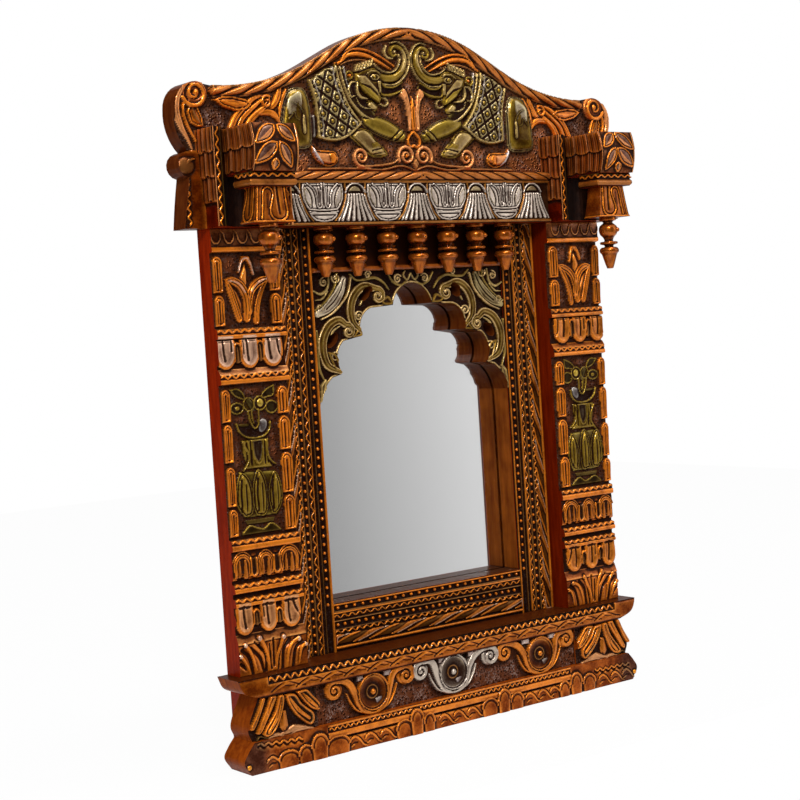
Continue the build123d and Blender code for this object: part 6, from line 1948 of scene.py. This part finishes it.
def build_blocks():
    """Canopy blocks: shingled sides, and a front of broad leaves whose top and bottom curve back."""
    x0, x1, tip, rear, z0, z1 = in_mm(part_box("canopy_block_right"))
    middle, half = (z0 + z1) / 2, (z1 - z0) / 2
    outline = [(x0, rear), (x0, tip), (x1, tip), (x1, rear)]
    deep, wide = rear - tip, x1 - x0

    def bulge(x, y, z):
        return x, rear + (y - rear) * (1 - 4.0 / deep * ((z - middle) / half) ** 2)

    r = Relief(0, 2 * deep + wide, z0, z1, step=0.6, ground=-1.5, paint=RED)
    for a, b in ((0, deep), (deep + wide, 2 * deep + wide)):
        shingles(r, a, b, ((z1, middle - 0.4), (middle + 0.4, z0 + 0.8)), 3, (-1.3, -2.6))
    face = r.rows(z0, z1, deep, deep + wide)
    r.H[face] = -1.3
    r.paint[face] = BLOCK_GROUND

    def at(u, v):
        return deep + u * wide, z0 + v * (z1 - z0)

    for root, tip_at, wide_at, blade in (((0.43, 0.98), (0.07, 0.6), 11.0, 1),
                                         ((0.46, 0.98), (0.96, 0.56), 12.0, -1),
                                         ((0.43, 0.62), (0.14, 0.06), 11.0, 1),
                                         ((0.46, 0.6), (0.97, 0.14), 12.5, -1),
                                         ((0.5, 0.26), (0.53, 0.0), 8.0, 1)):
        (ax, az), (cx, cz) = at(*root), at(*tip_at)
        dx, dz = cx - ax, cz - az
        size = math.hypot(dx, dz)
        nx, nz = -dz / size * wide_at / 2, dx / size * wide_at / 2
        spread = ((0, 0), (0.2, 0.75), (0.5, 1), (0.8, 0.62), (1, 0))
        leaf = [(ax + dx * t + nx * w, az + dz * t + nz * w) for t, w in spread]
        leaf += [(ax + dx * t - nx * w, az + dz * t - nz * w) for t, w in spread[3:0:-1]]
        leaf = closed_curve(leaf, 4)
        r.area(leaf, 1.1, -1.3, bevel=0.8, line=1.0, line_in=1.9, rim=0.6, paint=COPPER)
        r.area(inset(leaf, 1.9), 0.6, -0.7, bevel=1.0, paint=BLOCK_LEAF)
        half_leaf = [(ax + dx * t + blade * nx * w, az + dz * t + blade * nz * w) for t,
                     w in ((0.12, 0), (0.3, 0.5), (0.55, 0.6), (0.9, 0))]
        # The pink half of each leaf is a painted sheen.
        r.area(half_leaf, 0.7, -0.5, bevel=0.8, paint=ROSE_SHEEN)
    for a in (deep + 0.6, deep + wide - 0.6):
        r.stroke([(a, z0), (a, z1)], 1.6, 0.9, -1.3, curve=False, wear_and_sheen=0.3)
    r.H = np.minimum(r.H, 0.3)
    wrapped(r, "block", outline, "canopy_block", bulge)


def build_block_ledges():
    """Small ledges under the blocks: a wave on a dark strip over a rounded edge."""
    x0, x1, tip, rear, z0, z1 = in_mm(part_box("block_ledge_right"))
    outline = [(x0 + 1, rear), (x0 + 1, tip + 1), (x1 - 1, tip + 1), (x1 - 1, rear)]
    w = Wrap(outline)
    r = Relief(0, w.length, z0, z1, step=0.6, ground=-1.6, paint=UMBER)
    bar(r, z0, z0 + 6.4, 0.8, -2.6, 0.9, BLOCK_LEDGE)
    bar(r, z0 + 6.0, z1, -0.4, -1.6, 0.2, NIGHT)
    r.wave(2, w.length - 2, z1 - 2.9, 1.1, 8.4, 1.5, 1.2, base=-0.5, paint=COPPER)
    wrapped(r, "ledge", outline, "block_ledge")


def build_bells():
    """Bell capitals: looped petals on three sides, drawn in towards the top."""
    x0, x1, tip, rear, z0, z1 = in_mm(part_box("bell_capital_right"))
    cx, cy = (x0 + x1) / 2, (tip + rear) / 2
    outline = [(x0, rear), (x0, tip), (x1, tip), (x1, rear)]

    def flare(x, y, z):
        t = np.clip((z - z0) / (z1 - z0), 0, 1) ** 0.8
        return cx + (x - cx) * (1 - 0.24 * t), cy + (y - cy) * (1 - 0.22 * t)

    # a side petal spans more than the depth, so its far part is hidden
    deep, wide = rear - tip, x1 - x0
    reach = deep * 1.6
    r = Relief(0, 2 * deep + wide, z0, z1, step=0.6, ground=-1.7, paint=UMBER)
    r.H[...], r.paint[...] = -0.5, BELL_GROUND
    for start, run in ((deep, wide), (-reach, reach), (deep + wide, reach)):

        def at(u, v):
            return start + u * run, z0 + v * (z1 - z0)

        petal = [at(*q) for q in ((0.1, 1.02), (0.12, 0.6), (0.13, 0.3), (0.2, 0.12), (0.36, 0.04),
                                  (0.52, 0.12), (0.58, 0.32), (0.52, 0.58), (0.47, 0.8), (0.53, 0.95),
                                  (0.66, 0.98), (0.76, 0.86), (0.78, 0.5), (0.8, 0.1))]
        r.cut(petal, 3.0, 1.1)
        r.stroke(petal, 1.5, 1.0, -0.8, wear_and_sheen=0.5, paint=COPPER)
        hollow = [at(*q) for q in ((0.6, 0.86), (0.68, 0.8), (0.68, 0.4), (0.64, 0.12), (0.6, 0.36),
                                   (0.57, 0.7))]
        r.area(hollow, 0.4, -0.9, bevel=0.8, curve=True, paint=UMBER)
        r.cut([at(0.33, 1.0), at(0.33, 0.25)], 2.6, 1.6, curve=False, pinch=0.5)
        r.stroke([at(0.93, 1.0), at(0.93, 0.04)], 1.6, 0.9, -0.7, curve=False, wear_and_sheen=0.4, paint=COPPER)
    bar(r, z0, z0 + 1.4, 0.0, -1.0, 0.4, COPPER)
    wrapped(r, "bell", outline, "bell_capital", flare)


# Mirror


def build_mirror():
    """Silvered back and clear pane; the pane's thickness shows as a dark line round the opening."""
    low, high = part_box("mirror_glass")
    (x0, y0, z0), (x1, y1, z1) = (tuple(v / MM for v in corner) for corner in (low, high))
    silver_y = y1 - 0.3
    for name, near, far, material in (("mirror_pane", y0, silver_y - 0.05, pane_material()),
                                      ("mirror_silvering", silver_y, y1, silvering_material())):
        cut = 0.8 if name == "mirror_pane" else 0.0
        rings = []
        for y, shrink in ((near, cut), (near + cut * 0.6, 0.0), (far, 0.0)):
            rings.append([(x0 + shrink, y, z0 + shrink), (x1 - shrink, y, z0 + shrink),
                          (x1 - shrink, y, z1 - shrink), (x0 + shrink, y, z1 - shrink)])
        verts = np.array(rings).reshape(-1, 3)
        quads = [(0, 1, 2, 3), (11, 10, 9, 8)]
        for ring_start in (0, 4):
            quads += [(ring_start + k, ring_start + 4 + k, ring_start + 4 + (k + 1) % 4,
                       ring_start + (k + 1) % 4) for k in range(4)]
        piece = mesh_object(name, verts, [np.array(quads)], material, sharp=10)
        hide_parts("mirror_glass")


def pane_material():
    n = Net("clear_glass")
    wave = n.noise(14.0, 2.0)
    return n.principled(Base_Color=(0.98, 0.98, 0.98, 1), Roughness=n.ramp(wave, 0.0, 1.0, 0.0, 0.012),
                        Transmission_Weight=1.0, IOR=1.5)


def silvering_material():
    n = Net("silvering")
    wave = n.noise(9.0, 2.0)
    return n.principled(Base_Color=n.mix(wave, (0.93, 0.93, 0.93), (0.97, 0.97, 0.97)), Metallic=1.0,
                        Roughness=0.004)


build_pilasters()
build_crest()
build_canopy_frieze()
build_base()
build_mouldings()
build_arch()
build_turnings()
build_brackets()
build_blocks()
build_block_ledges()
build_bells()
build_mirror()

# Studio

# Lamps, in metres and watts: name, place, what it aims at, size, power
LAMPS = (
    ("key", (-1.1, -1.9, 1.7), (0, 0, 0.35), (0.42, 0.6), 42),
    ("fill", (1.7, -1.5, 0.9), (0, 0, 0.3), (0.5, 1.3), 3.5),
    ("top", (0.2, -0.7, 2.4), (0, 0, 0.3), (1.2, 0.4), 22),
)


def varnished(name, colour, deep, coat=0.8):
    """Plain stained wood with a faint grain under varnish."""
    n = Net(name)
    streak = n.noise(240.0, 4.0, 0.6, stretch=(1.0, 1.0, 0.12))
    cloud = n.noise(60.0, 3.0)
    tone = n.math("ADD", n.math("MULTIPLY", streak, 0.7), n.math("MULTIPLY", cloud, 0.5))
    return n.principled(
        Base_Color=n.mix(n.ramp(tone, 0.4, 0.8), deep, colour),
        Roughness=n.ramp(cloud, 0.3, 0.7, 0.35, 0.5), Normal=n.bump(streak, 0.12, 0.0003),
        Specular_IOR_Level=0.04, Coat_Weight=coat, Coat_IOR=1.38, Coat_Roughness=0.09,
    )


def carcass_material():
    """Mahogany stain outside, lighter stain on the walls of the opening, raw wood behind; the opening's
    walls are painted near-black above the arch and dark at the sill, as painted shade.
    """
    n = Net("carcass_wood")
    streak = n.noise(240.0, 4.0, 0.6, stretch=(1.0, 1.0, 0.1))
    cloud = n.noise(60.0, 3.0)
    tone = n.math("ADD", n.math("MULTIPLY", streak, 0.7), n.math("MULTIPLY", cloud, 0.5))
    place = n.add("SeparateXYZ", {0: n.coords})
    inner = n.ramp(n.math("ABSOLUTE", place.outputs[0]), 0.108, 0.11, 1.0, 0.0)
    outside = n.mix(n.ramp(tone, 0.4, 0.8), (0.2, 0.009, 0.0006), (0.38, 0.022, 0.001))
    reveal = n.mix(n.ramp(tone, 0.4, 0.8), (0.13, 0.026, 0.003), (0.32, 0.08, 0.008))
    # Above the arch the opening's walls go near-black: painted shade in the recess behind the balusters.
    reveal = n.mix(n.ramp(place.outputs[2], 0.403, 0.407), reveal, (0.045, 0.01, 0.002))
    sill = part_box("inner_moulding_bottom")[1].z
    # The sill and the lowest millimetre of the walls are painted dark: painted shade.
    reveal = n.mix(n.ramp(place.outputs[2], sill + 0.0003, sill + 0.0012), (0.06, 0.018, 0.006), reveal)
    colour = n.mix(inner, outside, reveal)
    rear = n.ramp(place.outputs[1], 0.0546, 0.0549)
    colour = n.mix(rear, colour, n.mix(n.ramp(tone, 0.4, 0.8), (0.2, 0.1, 0.045), (0.36, 0.2, 0.1)))
    return n.principled(
        Base_Color=colour, Roughness=n.ramp(rear, 0.0, 1.0, 0.4, 0.75), Normal=n.bump(streak, 0.15, 0.0003),
        Specular_IOR_Level=0.03, Coat_Weight=0.2, Coat_IOR=1.2, Coat_Roughness=0.12,
    )


def board_material():
    """Hardboard: brown, with a fine pressed mesh."""
    n = Net("hardboard")
    fibre = n.noise(900.0, 3.0, 0.7)
    cells = n.add("TexVoronoi", {"Vector": n.coords, "Scale": 620.0,
                                 "Randomness": 0.25}).outputs["Distance"]
    return n.principled(
        Base_Color=n.mix(n.ramp(fibre, 0.3, 0.7), (0.12, 0.065, 0.03), (0.2, 0.11, 0.055)),
        Roughness=n.ramp(fibre, 0.2, 0.8, 0.65, 0.85), Normal=n.bump(cells, 0.5, 0.0005),
    )


def steel_material():
    n = Net("zinc_steel")
    cloud = n.noise(180.0, 4.0)
    brush = n.noise(900.0, 2.0, 0.6, stretch=(1.0, 1.0, 0.15))
    return n.principled(
        Base_Color=n.mix(n.ramp(cloud, 0.35, 0.7), (0.42, 0.41, 0.38), (0.62, 0.61, 0.58)), Metallic=1.0,
        Roughness=n.ramp(brush, 0.2, 0.8, 0.25, 0.45), Normal=n.bump(brush, 0.15, 0.0002),
    )


def dress_frame():
    """Materials for the nodes that keep their own shape."""
    carcass, steel = carcass_material(), steel_material()
    rail = varnished("rail_wood", (0.4, 0.1, 0.012), (0.18, 0.035, 0.005))
    looks = {
        "backing_board": board_material(), "arch_rail": rail,
        "carcass_dowels": varnished("beech", (0.5, 0.33, 0.17), (0.38, 0.22, 0.1), coat=0.0),
        "board_screws": steel, "hanger_screws": steel, "hanger_plate_left": steel,
        "hanger_plate_right": steel, "glazing_pins": steel,
    }
    for name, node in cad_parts.items():
        node.data.materials.clear()
        node.data.materials.append(looks.get(name, carcass))


def light_area(name, place, aim, size, power):
    lamp = bpy.data.lights.new(name, "AREA")
    lamp.shape = "RECTANGLE"
    lamp.size, lamp.size_y = size
    lamp.energy = power
    holder = bpy.data.objects.new(name, lamp)
    holder.location = place
    holder.rotation_euler = (Vector(aim) - Vector(place)).to_track_quat("-Z", "Y").to_euler()
    bpy.context.scene.collection.objects.link(holder)


def room_glow(azimuth, height):
    """Glow of the studio wall and ceiling, by the angle round the object and the height: painted light,
    since they give off light though they are no lamps; the band high up stands in for a softbox.
    """
    turns = np.radians((-180, -130, -95, -60, -35, 0, 20, 33, 42, 60, 85, 120, 180))
    levels = (0.01, 0.01, 0.05, 0.2, 0.05, 0.02, 0.05, 0.34, 0.7, 0.6, 0.1, 0.02, 0.01)
    wall = np.interp(azimuth, turns, levels) * np.clip(1.1 - 0.15 * np.abs(height - 0.3), 0.1, 1.1)
    panel = np.exp(-(((height - 3.6) / 0.5) ** 2)) * np.clip(np.cos(azimuth) + 0.35, 0, 1)
    return wall * np.clip(1.6 - 0.35 * height, 0, 1) + 1.4 * panel


def build_room():
    """A grey glowing wall round the studio, seen only in the varnish and the mirror; its glow is painted
    light.
    """
    radius, wall_foot, wall_top, dome_rise = 3.2, -1.2, 3.2, 1.2
    angles = np.linspace(-math.pi, math.pi, 181)
    dome = np.linspace(wall_top, wall_top + dome_rise, 8)[1:]
    A, Z = np.meshgrid(angles, np.concatenate([np.linspace(wall_foot, wall_top, 14), dome]))
    in_dome = np.maximum(Z - wall_top, 0) * radius / dome_rise
    reach = np.sqrt(np.clip(radius**2 - in_dome**2, 0, None))
    verts = np.stack([reach * np.sin(A), -reach * np.cos(A), Z], -1).reshape(-1, 3)
    ids = np.arange(verts.shape[0]).reshape(A.shape)
    quads = np.stack([ids[:-1, :-1], ids[:-1, 1:], ids[1:, 1:], ids[1:, :-1]], -1).reshape(-1, 4)
    middle = np.degrees((A[:-1, :-1] + A[:-1, 1:]) / 2).ravel()
    # the wall is left open behind the object, as the camera sees it
    behind = np.abs(np.mod(middle - (180 + CAMERA_TURN) + 180, 360) - 180) < 24
    mesh = bpy.data.meshes.new("glowing_studio_wall")
    mesh.from_pydata(verts.tolist(), [], quads[~behind].tolist())
    glow = mesh.attributes.new("glow", "FLOAT", "POINT")
    glow.data.foreach_set("value", room_glow(A, Z).ravel().astype(np.float32))
    n = Net("glowing_studio_wall")
    shine = n.add("Emission", {"Strength": n.attribute("glow")})
    n.tree.links.new(shine.outputs[0], n.out.inputs["Surface"])
    mesh.materials.append(n.material)
    wall = bpy.data.objects.new("glowing_studio_wall", mesh)
    bpy.context.scene.collection.objects.link(wall)
    wall.visible_camera = wall.visible_diffuse = wall.visible_shadow = False


def build_floor():
    """A pale floor plate, white to the camera, that keeps a little of the object's shadow."""
    mesh = bpy.data.meshes.new("floor")
    mesh.from_pydata([(-1.8, -0.17, 0), (1.8, -0.17, 0), (1.8, 2.2, 0), (-1.8, 2.2, 0)], [], [(0, 1, 2, 3)])
    n = Net("floor")
    path = n.add("LightPath")
    seen = n.math("MAXIMUM", n.math("MAXIMUM", path.outputs["Is Camera Ray"],
                                    path.outputs["Is Glossy Ray"]), path.outputs["Is Transmission Ray"])
    pale = n.add("BsdfDiffuse", {"Color": (0.8, 0.8, 0.8)})
    white = n.add("Emission", {"Strength": 1.0})
    mixed = n.add("MixShader", {0: n.math("MULTIPLY", seen, 0.965), 1: pale.outputs[0],
                                2: white.outputs[0]})
    n.tree.links.new(mixed.outputs[0], n.out.inputs["Surface"])
    mesh.materials.append(n.material)
    floor = bpy.data.objects.new("floor", mesh)
    bpy.context.scene.collection.objects.link(floor)


def build_studio():
    scene = bpy.context.scene
    world = bpy.data.worlds.new("studio")
    scene.world = world
    world.use_nodes = True
    tree = world.node_tree
    back = tree.nodes["Background"]
    path = tree.nodes.new("ShaderNodeLightPath")
    level = None
    for ray in ("Is Camera Ray", "Is Glossy Ray", "Is Transmission Ray"):
        if level is None:
            level = path.outputs[ray]
            continue
        either = tree.nodes.new("ShaderNodeMath")
        either.operation = "MAXIMUM"
        tree.links.new(level, either.inputs[0])
        tree.links.new(path.outputs[ray], either.inputs[1])
        level = either.outputs[0]
    strength = tree.nodes.new("ShaderNodeMapRange")
    strength.inputs[3].default_value = 0.4
    strength.inputs[4].default_value = 1.0
    tree.links.new(level, strength.inputs[0])
    tree.links.new(strength.outputs[0], back.inputs["Strength"])
    back.inputs["Color"].default_value = (1, 1, 1, 1)
    build_room()
    build_floor()

    for lamp in LAMPS:
        light_area(*lamp)

    camera = bpy.data.cameras.new("camera")
    camera.lens = CAMERA_LENS
    camera.sensor_width = 36.0
    holder = bpy.data.objects.new("camera", camera)
    az, pitch, roll = (math.radians(v) for v in (CAMERA_TURN, CAMERA_PITCH, CAMERA_ROLL))
    ahead = Vector((math.sin(-az) * math.cos(pitch), math.cos(-az) * math.cos(pitch), math.sin(pitch)))
    side = ahead.cross(Vector((0, 0, 1))).normalized()
    level_up = side.cross(ahead)
    right = side * math.cos(roll) + level_up * math.sin(roll)
    up = level_up * math.cos(roll) - side * math.sin(roll)
    turn = Matrix((right, up, -ahead)).transposed()
    holder.matrix_world = Matrix.Translation([v * MM for v in CAMERA_PLACE]) @ turn.to_4x4()
    scene.collection.objects.link(holder)
    scene.camera = holder
    scene.view_settings.view_transform = "Standard"


dress_frame()
build_studio()
